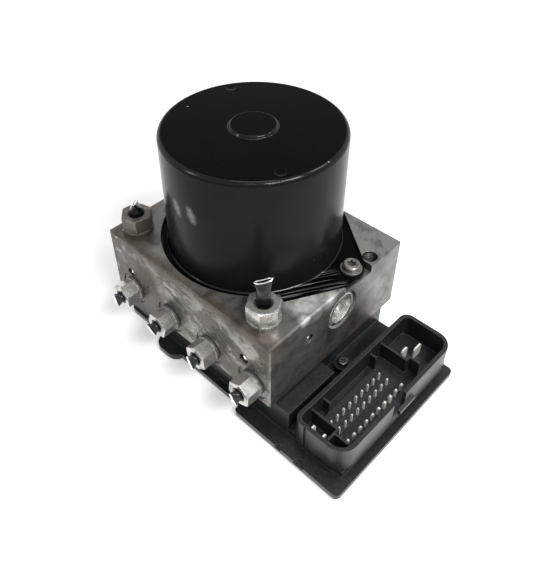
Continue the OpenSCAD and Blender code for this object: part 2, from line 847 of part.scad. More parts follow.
module outlet_at(i) {
    translate([outlet_mid + (i - 2.5) * outlet_pitch, front + spot_deep, outlet_z])
        rotate([90, 0, 0]) children();
}

module outlet_nut(i, turn) {
    color("#c2c0ba") outlet_at(i) rotate(turn)
        tube_nut(outlet_hex, outlet_nut_len + spot_deep, outlet_d, outlet_deep - 3, outlet_pipe_d);
}

module outlet_pipe(i, turn) {
    high = outlet_nut_len + spot_deep + outlet_stub;
    color("#2c2b2a") outlet_at(i)
        pinched_pipe(outlet_pipe_d, 0.8, outlet_deep - 4, high, outlet_stub - 0.6, turn);
}

// Solenoid valve cartridge: body in the block, collar against it and armature tube below
module valve(x, y, tip) {
    collar_low = under - valve_collar_high;
    high = under + valve_deep;
    translate([x * valve_pitch, y, 0]) rotate_extrude() polygon([
        [0, valve_end], [valve_tube_r - 0.8, valve_end], [valve_tube_r, valve_end + 0.8],
        [valve_tube_r, collar_low], [valve_collar_r, collar_low], [valve_collar_r, under],
        [valve_r, under], [valve_r, high - 4], [valve_r - 1, high - 3.2],
        [tip, high - 0.5], [0, high - 0.5]
    ]);
}

module inlet_valves() {
    color("#c7c9cc") for (x = [-1.5:1.5]) valve(x, valve_rows[0], 2.4);
}

module outlet_valves() {
    color("#c7c9cc") for (x = [-1.5:1.5]) valve(x, valve_rows[1], 1.6);
}

module valve_coils() {
    bore = valve_tube_r + 0.2;
    rim = 1.2;
    turns = coil_r - 0.8;
    color("#8c3b26") for (x = [-1.5:1.5], y = valve_rows)
        translate([x * valve_pitch, y, coil_low]) rotate_extrude() polygon([
            [bore, 0], [coil_r, 0], [coil_r, rim], [turns, rim], [turns, coil_high - rim],
            [coil_r, coil_high - rim], [coil_r, coil_high], [bore, coil_high]
        ]);
}

module terminal_sleeve() {
    low = under - 6;
    color("#3d3f42") difference() {
        translate([0, terminal_y, low]) cylinder(r = terminal_r, h = shield_top - low);
        for (side = [-1, 1]) terminal_place(side, seat_gap, low - cut)
            cube([terminal_thick + 2 * seat_gap, terminal_wid + 2 * seat_gap, block_high + 10]);
    }
}

module motor_terminals() {
    color("#d9c27a") for (side = [-1, 1]) terminal_place(side, 0, board_top)
        cube([terminal_thick, terminal_wid, shield_top + holder_thick - board_top]);
}

// Outline of the base plate: a rounded tab in front, and a step to the wider end under the
// connector
module plate_outline(inset) {
    r = plate_round - inset;
    bend = plate_step / 2;
    far_left = plate_near + plate_setback;
    corner = plate_round / 2;
    tab_y = tab_round - plate_front;
    polygon(concat(
        arc([plate_round - plate_left, far_left + plate_round], r, 180, 270, 8),
        [[tab_x - tab_wid / 2 + inset, far_left + inset]],
        arc([tab_x - tab_wid / 2 + tab_round, tab_y], tab_round - inset, 180, 270, 8),
        arc([tab_x + tab_wid / 2 - tab_round, tab_y], tab_round - inset, 270, 360, 8),
        [[tab_x + tab_wid / 2 - inset, plate_near + inset]],
        arc([plate_step_x, plate_near - bend], bend + inset, 90, 0, 6),
        arc([plate_step_x + plate_step, plate_near - bend], bend - inset, 180, 270, 6),
        arc([plate_right - corner, corner - plate_front], corner - inset, 270, 360, 6),
        arc([plate_right - corner, plate_back - corner], corner - inset, 0, 90, 6),
        arc([plate_round - plate_left, plate_back - plate_round], r, 90, 180, 8)
    ));
}

// Thin wall along a path of square corners, rooted in the connector's floor
module divider(path) {
    for (i = [0:len(path) - 2]) {
        a = path[i];
        b = path[i + 1];
        t = divider_thick / 2;
        translate([min(a[0], b[0]) - t, min(a[1], b[1]) - t, root_z])
            cube([abs(a[0] - b[0]) + 2 * t, abs(a[1] - b[1]) + 2 * t, divider_top - root_z]);
    }
}

// Outline of the connector shroud, with rounder corners on its outer side
module shroud_outline(inset) {
    rounded_rect(
        shroud_left + inset, shroud_right - inset, shroud_front + inset, shroud_back - inset,
        shroud_round_in - inset, shroud_round - inset);
}

// Outside of the moulded housing: base plate, coil box, side wing, post and connector
module housing_shell(base_len, box_len) {
    translate([0, 0, cover_thick]) linear_extrude(plate_high - cover_thick) plate_outline(0);
    translate([box_left, -base_front, cover_thick])
        cube([base_right - box_left, base_len, base_top - cover_thick]);
    translate([box_left, -box_front, cover_thick])
        cube([box_right - box_left, box_len, box_top - cover_thick]);
    translate([box_right - cut, -box_front, cover_thick])
        cube([wing_right - box_right + cut, box_front + wing_back, box_top - cover_thick]);
    translate([screw_post[0], screw_post[1], cover_thick])
        cylinder(r = screw_post_r, h = screw_post_high - cover_thick);
    // Foot of the shroud, set back under the skirt
    translate([0, 0, cover_thick]) linear_extrude(deck_roof - cover_thick) shroud_outline(skirt_in);
    translate([0, 0, deck_roof]) linear_extrude(rim_high - deck_roof) shroud_outline(0);
    // Ramp for the plug's latch
    translate([shroud_right, latch_y[1], latch_low]) rotate([90, 0, 0])
        linear_extrude(latch_y[1] - latch_y[0]) polygon([
            [-1, 0], [0, 0], [latch_out, 0.4 * latch_high], [latch_out, latch_high - 0.6],
            [0, latch_high], [-1, latch_high]
        ]);
}

// Moulded housing, hollow for the board and the coils, with the upright connector shroud
module ecu_housing() {
    inner_left = shroud_left + shroud_wall;
    inner_right = shroud_right - shroud_wall;
    base_len = base_front + base_back;
    box_len = box_front + box_back;
    hollow = unit_wall + ledge_wid;
    base_wid = base_right - box_left;
    box_wid = box_right - box_left;
    foot_in = skirt_in + unit_wall;
    foot_left = shroud_left + foot_in;
    foot_front = max(hollow - base_front, shroud_front + foot_in);
    foot_back = min(base_back - hollow, shroud_back - foot_in);
    jog_front = divider_front - divider_jog;
    jog_back = divider_back + divider_jog;
    color("#2b2d2e") difference() {
        housing_shell(base_len, box_len);
        // Inside of the connector
        translate([0, 0, deck_top]) linear_extrude(rim_high) shroud_outline(shroud_wall);
        // Notch for the latch in the outer wall
        translate([inner_right - cut, notch_y[0], notch_low])
            cube([shroud_wall + cut, notch_y[1] - notch_y[0], rim_high]);
        // Groove in the front end wall
        translate([shroud_left + 6, shroud_front - cut, plate_high + 1]) cube([1.4, 1.8, rim_high]);
        // Coil chamber, open towards the block
        translate([box_left + unit_wall, unit_wall - box_front, base_top])
            cube([box_wid - 2 * unit_wall, box_len - 2 * unit_wall, unit_high]);
        // Board space with its ledge
        translate([box_left + unit_wall, unit_wall - base_front, cover_thick - cut])
            cube([base_wid - 2 * unit_wall, base_len - 2 * unit_wall, board_top - cover_thick + cut]);
        translate([box_left + hollow, hollow - base_front, cover_thick])
            cube([base_wid - 2 * hollow, base_len - 2 * hollow, base_top - base_roof - cover_thick]);
        translate([foot_left, foot_front, cover_thick])
            cube([base_right - hollow - foot_left, foot_back - foot_front, deck_roof - cover_thick]);
        translate([box_left + hollow, hollow - base_front, cover_thick])
            cube([box_wid - 2 * hollow, base_len - 2 * hollow, unit_high]);
        // Screw hole in the side post
        translate([screw_post[0], screw_post[1], base_top - base_roof - cut])
            cylinder(r = post_screw_r + 0.1, h = screw_post_high);
        // Scallops in the front edge of the base plate
        for (p = scallops) translate([p[0], -plate_front, plate_high - scallop_deep])
            cylinder(r = p[1], h = scallop_deep + cut, $fn = 32);
        pin_holes();
    }
    color("#2b2d2e") difference() {
        union() {
            pin_ledge_block([inner_left + ledge_in, ledge_edge]);
            pin_ledge_block([ledge_outer, inner_right + 0.5]);
            divider([
                [inner_left, divider_front], [divider_turn_x, divider_front],
                [divider_turn_x, jog_front], [inner_right - 2.5, jog_front]
            ]);
            divider([[divider_turn_x, jog_front], [divider_turn_x, jog_front - divider_end]]);
            divider([
                [inner_left, divider_back], [divider_turn_x, divider_back],
                [divider_turn_x, jog_back], [inner_right - 4.5, jog_back]
            ]);
            for (y = rib_y) divider([[inner_left, y], [inner_left + rib_len, y]]);
        }
        pin_holes();
    }
}

module pin_ledge_block(x) {
    translate([x[0], divider_front, root_z])
        cube([x[1] - x[0], ledge_back - divider_front, pin_ledge - root_z]);
}

module pin_at(x, y, wid, grow) {
    translate([x - wid / 2 - grow, y - wid / 2 - grow, 0]) children();
}

module pin(wid) {
    point = 0.6;
    translate([0, 0, board_top]) cube([wid, wid, pin_tip - point - board_top]);
    translate([wid / 2, wid / 2, pin_tip - point - 0.01]) rotate(45)
        cylinder(r1 = wid / sqrt(2), r2 = wid / 3, h = point + 0.01, $fn = 4);
}

function pin_y(i, count) = pins_mid_y + (i - (count - 1) / 2) * pin_pitch;

module inner_pins(grow) {
    for (x = pin_rows_inner, i = [0:pins_inner - 1])
        pin_at(x, pin_y(i, pins_inner), pin_wid, grow) children();
}

module outer_pins(grow) {
    for (i = [0:pins_outer - 1])
        pin_at(pin_row_outer, pin_y(i, pins_outer), pin_wid_outer, grow) children();
}

module square_hole(wid) {
    cube([wid + 2 * seat_gap, wid + 2 * seat_gap, rim_high]);
}

module pin_holes() {
    inner_pins(seat_gap) square_hole(pin_wid);
    outer_pins(seat_gap) square_hole(pin_wid_outer);
    for (b = blades) translate([b[0] - blade_thick / 2 - seat_gap, b[1] - b[2] / 2 - seat_gap, 0])
        cube([blade_thick + 2 * seat_gap, b[2] + 2 * seat_gap, rim_high]);
}

module signal_pins_inner() {
    color("#d8d5cb") inner_pins(0) pin(pin_wid);
}

module signal_pins_outer() {
    color("#d8d5cb") outer_pins(0) pin(pin_wid_outer);
}

module power_blades() {
    color("#d8d5cb") for (b = blades)
        translate([b[0] - blade_thick / 2, b[1] - b[2] / 2, board_top]) rotate([90, 0, 90])
            linear_extrude(blade_thick) polygon([
                [0, 0], [b[2], 0], [b[2], pin_tip - board_top - 1],
                [b[2] - blade_point, pin_tip - board_top], [blade_point, pin_tip - board_top],
                [0, pin_tip - board_top - 1]
            ]);
}

// Seal between the coil box and the underside of the block
module ecu_gasket() {
    inset = 0.5;
    wide = box_right - box_left;
    deep = box_front + box_back;
    gap = unit_wall - inset;
    color("#1d2a26") translate([0, 0, box_top]) linear_extrude(gasket_thick) difference() {
        translate([box_left + inset, inset - box_front]) square([wide - 2 * inset, deep - 2 * inset]);
        translate([box_left + gap, gap - box_front]) square([wide - 2 * gap, deep - 2 * gap]);
    }
}

module circuit_board() {
    edge = unit_wall + board_gap;
    color("#1f5a38") translate([box_left + edge, edge - base_front, board_z])
        cube([base_right - box_left - 2 * edge, base_front + base_back - 2 * edge, board_thick]);
}

module ecu_cover() {
    inset = 0.8;
    color("#3a3c3d") linear_extrude(cover_thick) plate_outline(inset);
}

// Cross-slotted screw in the post beside the connector
module housing_screw() {
    low = base_top - base_roof + 0.4;
    slot_len = 2.6;
    slot_wide = 0.6;
    color("#cfcfca") difference() {
        translate([screw_post[0], screw_post[1], 0]) union() {
            translate([0, 0, screw_post_high]) screw_head(post_head_r, post_head_high, 0.9);
            translate([0, 0, low]) cylinder(r = post_screw_r, h = screw_post_high + 1 - low);
        }
        translate([screw_post[0], screw_post[1], screw_post_high + post_head_high / 2])
            for (turn = [0, 90]) rotate(turn) translate([-slot_len / 2, -slot_wide / 2, 0])
                cube([slot_len, slot_wide, post_head_high]);
    }
}

hydraulic_block();
motor_can();
magnets();
end_shield();
motor_screws();
upper_bearing();
lower_bearing();
brush_holder();
brushes();
brush_springs();
motor_shaft();
armature_core();
armature_windings();
commutator();
eccentric_bearing();
pump_piston(-1);  // pump_piston_left
pump_piston(1);  // pump_piston_right
pump_spring(left, -1);  // pump_spring_left
pump_spring(right, 1);  // pump_spring_right
pump_plug(left, -1);  // pump_plug_left
pump_plug(right, 1);  // pump_plug_right
accumulator_piston(-1);  // accumulator_piston_left
accumulator_piston(1);  // accumulator_piston_right
accumulator_spring(-1);  // accumulator_spring_left
accumulator_spring(1);  // accumulator_spring_right
accumulator_caps();
inlet_nut(inlet_x_left, 18);  // inlet_nut_left
inlet_nut(inlet_x_right, 1.5);  // inlet_nut_right
inlet_pipe(inlet_x_left, inlet_stub_left, -45);  // inlet_pipe_left
inlet_pipe(inlet_x_right, inlet_stub_right, 45);  // inlet_pipe_right
outlet_nut(1, 27);  // outlet_nut_1
outlet_nut(2, 12);  // outlet_nut_2
outlet_nut(3, 36);  // outlet_nut_3
outlet_nut(4, 24);  // outlet_nut_4
outlet_pipe(1, -57);  // outlet_pipe_1
outlet_pipe(2, -44);  // outlet_pipe_2
outlet_pipe(3, -54);  // outlet_pipe_3
outlet_pipe(4, -61);  // outlet_pipe_4
ball_plugs();
inlet_valves();
outlet_valves();
valve_coils();
terminal_sleeve();
motor_terminals();
ecu_housing();
ecu_gasket();
circuit_board();
ecu_cover();
housing_screw();
signal_pins_inner();
signal_pins_outer();
power_blades();
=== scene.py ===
import math
import random

import bmesh
import bpy
from mathutils import Matrix, Vector


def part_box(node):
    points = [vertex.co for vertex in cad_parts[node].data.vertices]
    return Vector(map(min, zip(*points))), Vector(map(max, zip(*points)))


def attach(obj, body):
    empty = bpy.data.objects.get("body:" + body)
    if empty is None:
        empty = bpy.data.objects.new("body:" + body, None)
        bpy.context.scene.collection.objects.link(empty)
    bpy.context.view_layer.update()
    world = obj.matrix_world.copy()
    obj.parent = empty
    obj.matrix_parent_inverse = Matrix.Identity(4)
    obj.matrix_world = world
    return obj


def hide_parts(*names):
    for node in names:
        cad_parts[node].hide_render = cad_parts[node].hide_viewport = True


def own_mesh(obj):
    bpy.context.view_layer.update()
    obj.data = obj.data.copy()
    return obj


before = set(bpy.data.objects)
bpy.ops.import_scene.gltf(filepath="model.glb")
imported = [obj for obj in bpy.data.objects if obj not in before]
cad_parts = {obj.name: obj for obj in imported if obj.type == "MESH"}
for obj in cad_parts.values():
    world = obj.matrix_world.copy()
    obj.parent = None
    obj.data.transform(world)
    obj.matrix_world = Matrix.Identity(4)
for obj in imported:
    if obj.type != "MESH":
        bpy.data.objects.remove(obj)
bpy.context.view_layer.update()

mm = 0.001
unitBody = "hydraulic_unit"
print("frame loaded:", len(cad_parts), "nodes")


# Small tools for shader trees
def feed(tree, socket, value):
    if isinstance(value, bpy.types.NodeSocket):
        tree.links.new(value, socket)
    else:
        socket.default_value = value


def addNode(tree, kind, inputs=None, **settings):
    node = tree.nodes.new(kind)
    for key, value in settings.items():
        setattr(node, key, value)
    for key, value in (inputs or {}).items():
        feed(tree, node.inputs[key], value)
    return node


def calc(tree, operation, *values):
    return addNode(tree, "ShaderNodeMath", dict(enumerate(values)), operation=operation).outputs[0]


def times(tree, first, second):
    return calc(tree, "MULTIPLY", first, second)


def plus(tree, first, second):
    return calc(tree, "ADD", first, second)


def minus(tree, first, second):
    return calc(tree, "SUBTRACT", first, second)


def most(tree, first, *others):
    for other in others:
        first = calc(tree, "MAXIMUM", first, other)
    return first


def remap(tree, value, low, high, outLow=0.0, outHigh=1.0):
    sockets = {"Value": value, "From Min": low, "From Max": high, "To Min": outLow, "To Max": outHigh}
    return addNode(tree, "ShaderNodeMapRange", sockets).outputs[0]


def blendColour(tree, factor, first, second):
    # sockets 6 and 7 of a Mix node are its two colours
    sockets = {0: factor, 6: first, 7: second}
    return addNode(tree, "ShaderNodeMix", sockets, data_type="RGBA").outputs[2]


def turned(tree, vector, angles=(0, 0, 0), finer=(1, 1, 1)):
    sockets = {
        "Vector": vector,
        "Rotation": [math.radians(angle) for angle in angles],
        "Scale": [1 / share for share in finer],
    }
    return addNode(tree, "ShaderNodeMapping", sockets, vector_type="TEXTURE").outputs[0]


def noise(tree, vector, scale, detail=4.0, roughness=0.55, distortion=0.0):
    sockets = {
        "Vector": vector, "Scale": scale, "Detail": detail,
        "Roughness": roughness, "Distortion": distortion,
    }
    return addNode(tree, "ShaderNodeTexNoise", sockets).outputs[0]


def newGroup(name, inputs, outputs):
    group = bpy.data.node_groups.new(name, "ShaderNodeTree")
    for label, kind, value in inputs:
        socket = group.interface.new_socket(name=label, in_out="INPUT", socket_type="NodeSocket" + kind)
        if value is not None:
            socket.default_value = value
    for label, kind in outputs:
        group.interface.new_socket(name=label, in_out="OUTPUT", socket_type="NodeSocket" + kind)
    return group, addNode(group, "NodeGroupInput").outputs, addNode(group, "NodeGroupOutput").inputs


def useGroup(tree, group, **inputs):
    node = tree.nodes.new("ShaderNodeGroup")
    node.node_tree = group
    for key, value in inputs.items():
        feed(tree, node.inputs[key], value)
    return node.outputs


# Grime in patches: broad clouds with a finer edge, more of it with a higher cover
patchLook = {
    "broad": (5.0, 0.6, 0.4), "broadShare": 0.8,
    "fine": (3.0, 0.6), "fineShare": 0.2, "finer": 7.0,
    "bareLevel": 0.72, "coverReach": 0.42,
}


def makePatchGroup(look):
    group, given, out = newGroup(
        "grimePatches",
        [("Vector", "Vector", None), ("Scale", "Float", 40.0), ("Cover", "Float", 0.5),
         ("Soft", "Float", 0.1)],
        [("Mask", "Float")],
    )
    broad = noise(group, given["Vector"], given["Scale"], *look["broad"])
    fine = noise(group, given["Vector"], times(group, given["Scale"], look["finer"]), *look["fine"])
    mixed = plus(group, times(group, broad, look["broadShare"]), times(group, fine, look["fineShare"]))
    edge = minus(group, look["bareLevel"], times(group, given["Cover"], look["coverReach"]))
    low = minus(group, edge, given["Soft"])
    high = plus(group, edge, given["Soft"])
    group.links.new(remap(group, mixed, low, high), out["Mask"])
    return group


# Fine scratches: three directions of drawn-out noise, shown in clusters only
scratchLook = {
    "directions": [((10, 20, 35), (1, 14, 14)), ((35, -15, -20), (16, 1, 16)), ((60, 5, 75), (12, 12, 1))],
    "streak": (2.0, 0.5), "middle": 0.5, "lineWidth": 0.006,
    "clusterScale": 0.6, "cluster": (0.5, 0.62),
}


def makeScratchGroup(look):
    group, given, out = newGroup(
        "fineScratches",
        [("Vector", "Vector", None), ("Scale", "Float", 60.0), ("Amount", "Float", 0.5)],
        [("Mask", "Float")],
    )
    masks = []
    for angles, finer in look["directions"]:
        along = turned(group, given["Vector"], angles, finer)
        streak = noise(group, along, given["Scale"], *look["streak"])
        line = calc(group, "ABSOLUTE", minus(group, streak, look["middle"]))
        masks.append(remap(group, line, look["lineWidth"], 0.0))
    clusters = noise(group, given["Vector"], times(group, given["Scale"], look["clusterScale"]))
    gate = remap(group, clusters, *look["cluster"])
    shown = times(group, times(group, most(group, *masks), gate), given["Amount"])
    group.links.new(shown, out["Mask"])
    return group


# Worn edges: where a rounded normal leaves the true one
edgeLook = {"samples": 4, "flat": 0.995, "sharp": 0.85}


def makeEdgeGroup(look):
    group, given, out = newGroup(
        "edgeWear", [("Radius", "Float", 0.5 * mm)], [("Mask", "Float"), ("Normal", "Vector")]
    )
    bevel = addNode(group, "ShaderNodeBevel", {"Radius": given["Radius"]}, samples=look["samples"])
    surface = addNode(group, "ShaderNodeNewGeometry")
    normals = {0: bevel.outputs[0], 1: surface.outputs["Normal"]}
    along = addNode(group, "ShaderNodeVectorMath", normals, operation="DOT_PRODUCT")
    group.links.new(remap(group, along.outputs["Value"], look["flat"], look["sharp"]), out["Mask"])
    group.links.new(bevel.outputs[0], out["Normal"])
    return group


# Dust that settles most on what faces up
dustLook = {
    "facingUp": (0.2, 1.0, 0.25, 1.0),
    "grain": (3.0, 0.7), "grainRange": (0.42, 0.75),
    "cloud": (35.0, 3.0, 0.6), "cloudRange": (0.3, 0.7, 0.3, 1.0),
}


def makeDustGroup(look):
    group, given, out = newGroup(
        "settledDust",
        [("Vector", "Vector", None), ("Scale", "Float", 300.0), ("Amount", "Float", 0.3)],
        [("Mask", "Float")],
    )
    surface = addNode(group, "ShaderNodeNewGeometry")
    up = addNode(group, "ShaderNodeSeparateXYZ", {0: surface.outputs["Normal"]}).outputs["Z"]
    lying = remap(group, up, *look["facingUp"])
    grains = noise(group, given["Vector"], given["Scale"], *look["grain"])
    grains = remap(group, grains, *look["grainRange"])
    cloud = remap(group, noise(group, given["Vector"], *look["cloud"]), *look["cloudRange"])
    shown = times(group, times(group, lying, grains), times(group, cloud, given["Amount"]))
    group.links.new(shown, out["Mask"])
    return group


# Small bright specks, one in a share of the cells
speckLook = {"dot": (0.16, 0.08)}


def makeSpeckGroup(look):
    group, given, out = newGroup(
        "brightSpecks",
        [("Vector", "Vector", None), ("Scale", "Float", 250.0), ("Share", "Float", 0.1)],
        [("Mask", "Float")],
    )
    cell = addNode(group, "ShaderNodeTexVoronoi", {"Vector": given["Vector"], "Scale": given["Scale"]})
    dot = remap(group, cell.outputs["Distance"], *look["dot"])
    chosen = addNode(group, "ShaderNodeSeparateColor", {0: cell.outputs["Color"]}).outputs[0]
    picked = calc(group, "LESS_THAN", chosen, given["Share"])
    group.links.new(times(group, dot, picked), out["Mask"])
    return group


patchGroup = makePatchGroup(patchLook)
scratchGroup = makeScratchGroup(scratchLook)
edgeGroup = makeEdgeGroup(edgeLook)
dustGroup = makeDustGroup(dustLook)
speckGroup = makeSpeckGroup(speckLook)


def patches(tree, vector, scale, cover, soft):
    return useGroup(tree, patchGroup, Vector=vector, Scale=scale, Cover=cover, Soft=soft)["Mask"]


def fineScratches(tree, vector, scale, amount):
    return useGroup(tree, scratchGroup, Vector=vector, Scale=scale, Amount=amount)["Mask"]


def settledDust(tree, vector, scale, amount):
    return useGroup(tree, dustGroup, Vector=vector, Scale=scale, Amount=amount)["Mask"]


def brightSpecks(tree, vector, scale, share):
    return useGroup(tree, speckGroup, Vector=vector, Scale=scale, Share=share)["Mask"]


def wornEdges(tree, radius):
    return useGroup(tree, edgeGroup, Radius=radius)


# Darker where ambient occlusion finds surfaces close by: painted shade in corners, creases and under parts
def cornerDirt(tree, reach, bare, full, samples=6):
    corner = addNode(tree, "ShaderNodeAmbientOcclusion", {"Distance": reach}, samples=samples)
    return remap(tree, corner.outputs["AO"], bare, full)


def startMaterial(name):
    material = bpy.data.materials.new(name)
    material.use_nodes = True
    tree = material.node_tree
    tree.nodes.clear()
    shader = addNode(tree, "ShaderNodeBsdfPrincipled")
    output = addNode(tree, "ShaderNodeOutputMaterial")
    tree.links.new(shader.outputs[0], output.inputs["Surface"])
    place = addNode(tree, "ShaderNodeTexCoord").outputs["Object"]
    return material, tree, shader, place


def setShader(tree, shader, **values):
    for key, value in values.items():
        feed(tree, shader.inputs[key.replace("_", " ")], value)


def bumpNormal(tree, height, distance, strength, base):
    sockets = {"Height": height, "Distance": distance, "Strength": strength, "Normal": base}
    return addNode(tree, "ShaderNodeBump", sockets).outputs[0]


def facing(tree, axis):
    surface = addNode(tree, "ShaderNodeTexCoord").outputs["Normal"]
    return addNode(tree, "ShaderNodeSeparateXYZ", {0: surface}).outputs[axis]


# A spot is a centre, a radius and the width of its soft border, all in millimetres
def nearPlace(tree, place, centre, radius, soft):
    ends = {0: place, 1: [c * mm for c in centre]}
    away = addNode(tree, "ShaderNodeVectorMath", ends, operation="DISTANCE")
    return remap(tree, away.outputs["Value"], radius * mm, (radius - soft) * mm)


def addSpots(tree, place, spots):
    return most(tree, *[nearPlace(tree, place, *spot) for spot in spots])


# In the looks below, a noise is scale, detail and roughness, patches are scale, cover and soft border,
# scratches and dust are scale and amount, specks are scale and share, and a range is what remap takes

# Aluminium block: milled faces under brown road film, rubbed bright at the edges. Painted light and shade
# give each face its own tone, darken the corners, the nuts' surroundings and the left end of the front, and
# add a painted highlight on the top near the right edge
blockLook = {
    # One tone of the metal each for sides, front and top: painted light and shade, lighter on the front and
    # top
    "shadedSideMetal": (0.185, 0.182, 0.175, 1),
    "litFrontMetal": (0.255, 0.242, 0.222, 1),
    "litTopMetal": (0.205, 0.201, 0.192, 1),
    "brownFilm": (0.075, 0.057, 0.044, 1),
    "frontFilmAndShade": (0.046, 0.031, 0.02, 1),
    # Dark colour of the small grime spots and of the painted corner shade
    "darkFilmAndShade": (0.018, 0.015, 0.012, 1),
    # Colour of scratches, specks, worn edges and of the painted highlight on the top
    "rubbedAndSheen": (0.62, 0.605, 0.58, 1),
    "frontFacing": (-0.3, -0.9), "topFacing": (0.3, 0.9),
    "broad": (34.0, 0.62, 0.12), "broadShare": 0.65, "broadLess": 0.35,
    "small": (130.0, 0.42, 0.05), "smallTurn": (40, 10, 70), "smallShare": 0.5, "smallMore": 0.3,
    "mottle": (95.0, 0.56, 0.03), "mottleTurn": (0, 8, 0), "mottleFiner": (0.6, 1, 1.3),
    "crustNoise": (60.0, 5.0, 0.65), "crustSpread": 14 * mm, "crustEnd": 15 * mm, "crustFull": 8 * mm,
    # Dark spots on the front: grime, and painted shade around the nuts and at the left end of the front
    "grimeAndShadeSpots": [
        ((-10.0, -48.0, 30.0), 22.0, 16.0), ((36.0, -48.0, 26.0), 16.0, 12.0),
        ((-38.0, -48.0, 38.0), 30.0, 10.0),
    ],
    "spotNoise": (70.0, 6.0, 0.65), "spotRange": (0.35, 0.5), "heavyShare": 0.95,
    "corner": (7 * mm, 0.92, 0.35), "cornerShare": 0.8, "cornerLess": 0.4,
    # Lighter patches on the top near the right edge: a painted highlight
    "paintedSheenSpots": [
        ((54.4, -26.5, 58.0), 4.0, 2.0), ((47.0, -20.0, 58.0), 10.0, 5.0),
        ((53.0, -11.0, 58.0), 6.0, 4.0),
    ],
    "raggedNoise": (240.0, 5.0, 0.65), "raggedRange": (0.38, 0.54, 0.5, 1.0), "sheenShare": 0.9,
    "scratches": (42.0, 0.4), "specks": (230.0, 0.04),
    "edgeRadius": 0.3 * mm, "edgeShare": 0.12,
    "roughNoise": (120.0, 5.0), "roughRange": (0.3, 0.7, 0.2, 0.32), "filmRough": 0.2,
    "mill": (47.0, 2.0), "millTurn": (0, 0, 20), "millFiner": (1, 30, 30),
    "pits": (420.0, 6.0), "pitShare": 0.8, "bump": (0.05 * mm, 0.4),
    "topDull": 0.8, "dullness": 0.55,
}


# Film in broad clouds, dark spots on the front that are grime and also painted shade around the nuts and at
# the left end, a ragged crust along the upper front edge and mottle on the front
def blockFilmAndShade(tree, place, look, topFace, frontFace):
    low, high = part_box("hydraulic_block")
    axes = addNode(tree, "ShaderNodeSeparateXYZ", {0: place}).outputs
    behind = minus(tree, axes["Y"], low[1])
    below = minus(tree, high[2], axes["Z"])
    wavy = times(tree, noise(tree, place, *look["crustNoise"]), look["crustSpread"])
    crust = remap(tree, plus(tree, most(tree, behind, below), wavy), look["crustEnd"], look["crustFull"])
    mottle = patches(tree, turned(tree, place, look["mottleTurn"], look["mottleFiner"]), *look["mottle"])
    mottle = times(tree, mottle, frontFace)
    cloud = remap(tree, noise(tree, place, *look["spotNoise"]), *look["spotRange"])
    grimeAndShadeSpots = times(tree, addSpots(tree, place, look["grimeAndShadeSpots"]), cloud)
    less = times(tree, most(tree, topFace, frontFace), look["broadLess"])
    broadShare = minus(tree, look["broadShare"], less)
    filmAndShade = times(tree, patches(tree, place, *look["broad"]), broadShare)
    filmAndShade = most(tree, filmAndShade, times(tree, grimeAndShadeSpots, look["heavyShare"]))
    return most(tree, filmAndShade, times(tree, most(tree, crust, mottle), look["heavyShare"]))


def makeBlockMaterial(look):
    material, tree, shader, place = startMaterial("milledBlock")
    frontFace = remap(tree, facing(tree, "Y"), *look["frontFacing"])
    topFace = remap(tree, facing(tree, "Z"), *look["topFacing"])
    # Each face takes the tone for the way it points: painted light and shade
    colour = blendColour(tree, frontFace, look["shadedSideMetal"], look["litFrontMetal"])
    colour = blendColour(tree, topFace, colour, look["litTopMetal"])
    filmAndShade = blockFilmAndShade(tree, place, look, topFace, frontFace)
    # The film colour on the front also carries the painted shade of the dark spots
    filmAndShadeColour = blendColour(tree, frontFace, look["brownFilm"], look["frontFilmAndShade"])
    colour = blendColour(tree, filmAndShade, colour, filmAndShadeColour)
    small = patches(tree, turned(tree, place, look["smallTurn"]), *look["small"])
    smallShare = plus(tree, look["smallShare"], times(tree, frontFace, look["smallMore"]))
    # Darkening in corners and under the can, less on the top: painted shade in the dark film colour
    cornerShare = minus(tree, look["cornerShare"], times(tree, topFace, look["cornerLess"]))
    corner = times(tree, cornerDirt(tree, *look["corner"]), cornerShare)
    colour = blendColour(tree, most(tree, times(tree, small, smallShare), corner), colour, look["darkFilmAndShade"])
    scratches = fineScratches(tree, place, *look["scratches"])
    edges = wornEdges(tree, look["edgeRadius"])
    # Painted highlight on the top near the right edge, in the light colour and less metallic
    ragged = remap(tree, noise(tree, place, *look["raggedNoise"]), *look["raggedRange"])
    paintedSheenSpots = times(tree, addSpots(tree, place, look["paintedSheenSpots"]), ragged)
    rubbedAndSheen = most(tree, scratches, brightSpecks(tree, place, *look["specks"]),
                  times(tree, edges["Mask"], look["edgeShare"]), times(tree, paintedSheenSpots, look["sheenShare"]))
    colour = blendColour(tree, rubbedAndSheen, colour, look["rubbedAndSheen"])
    rough = remap(tree, noise(tree, place, *look["roughNoise"]), *look["roughRange"])
    rough = plus(tree, rough, times(tree, filmAndShade, look["filmRough"]))
    mill = noise(tree, turned(tree, place, look["millTurn"], look["millFiner"]), *look["mill"])
    height = plus(tree, mill, times(tree, noise(tree, place, *look["pits"]), look["pitShare"]))
    height = minus(tree, height, scratches)
    normal = bumpNormal(tree, height, *look["bump"], edges["Normal"])
    dull = most(tree, filmAndShade, paintedSheenSpots, times(tree, topFace, look["topDull"]))
    metal = minus(tree, 1.0, times(tree, dull, look["dullness"]))
    setShader(tree, shader, Base_Color=colour, Metallic=metal, Roughness=rough, Normal=normal)
    return material
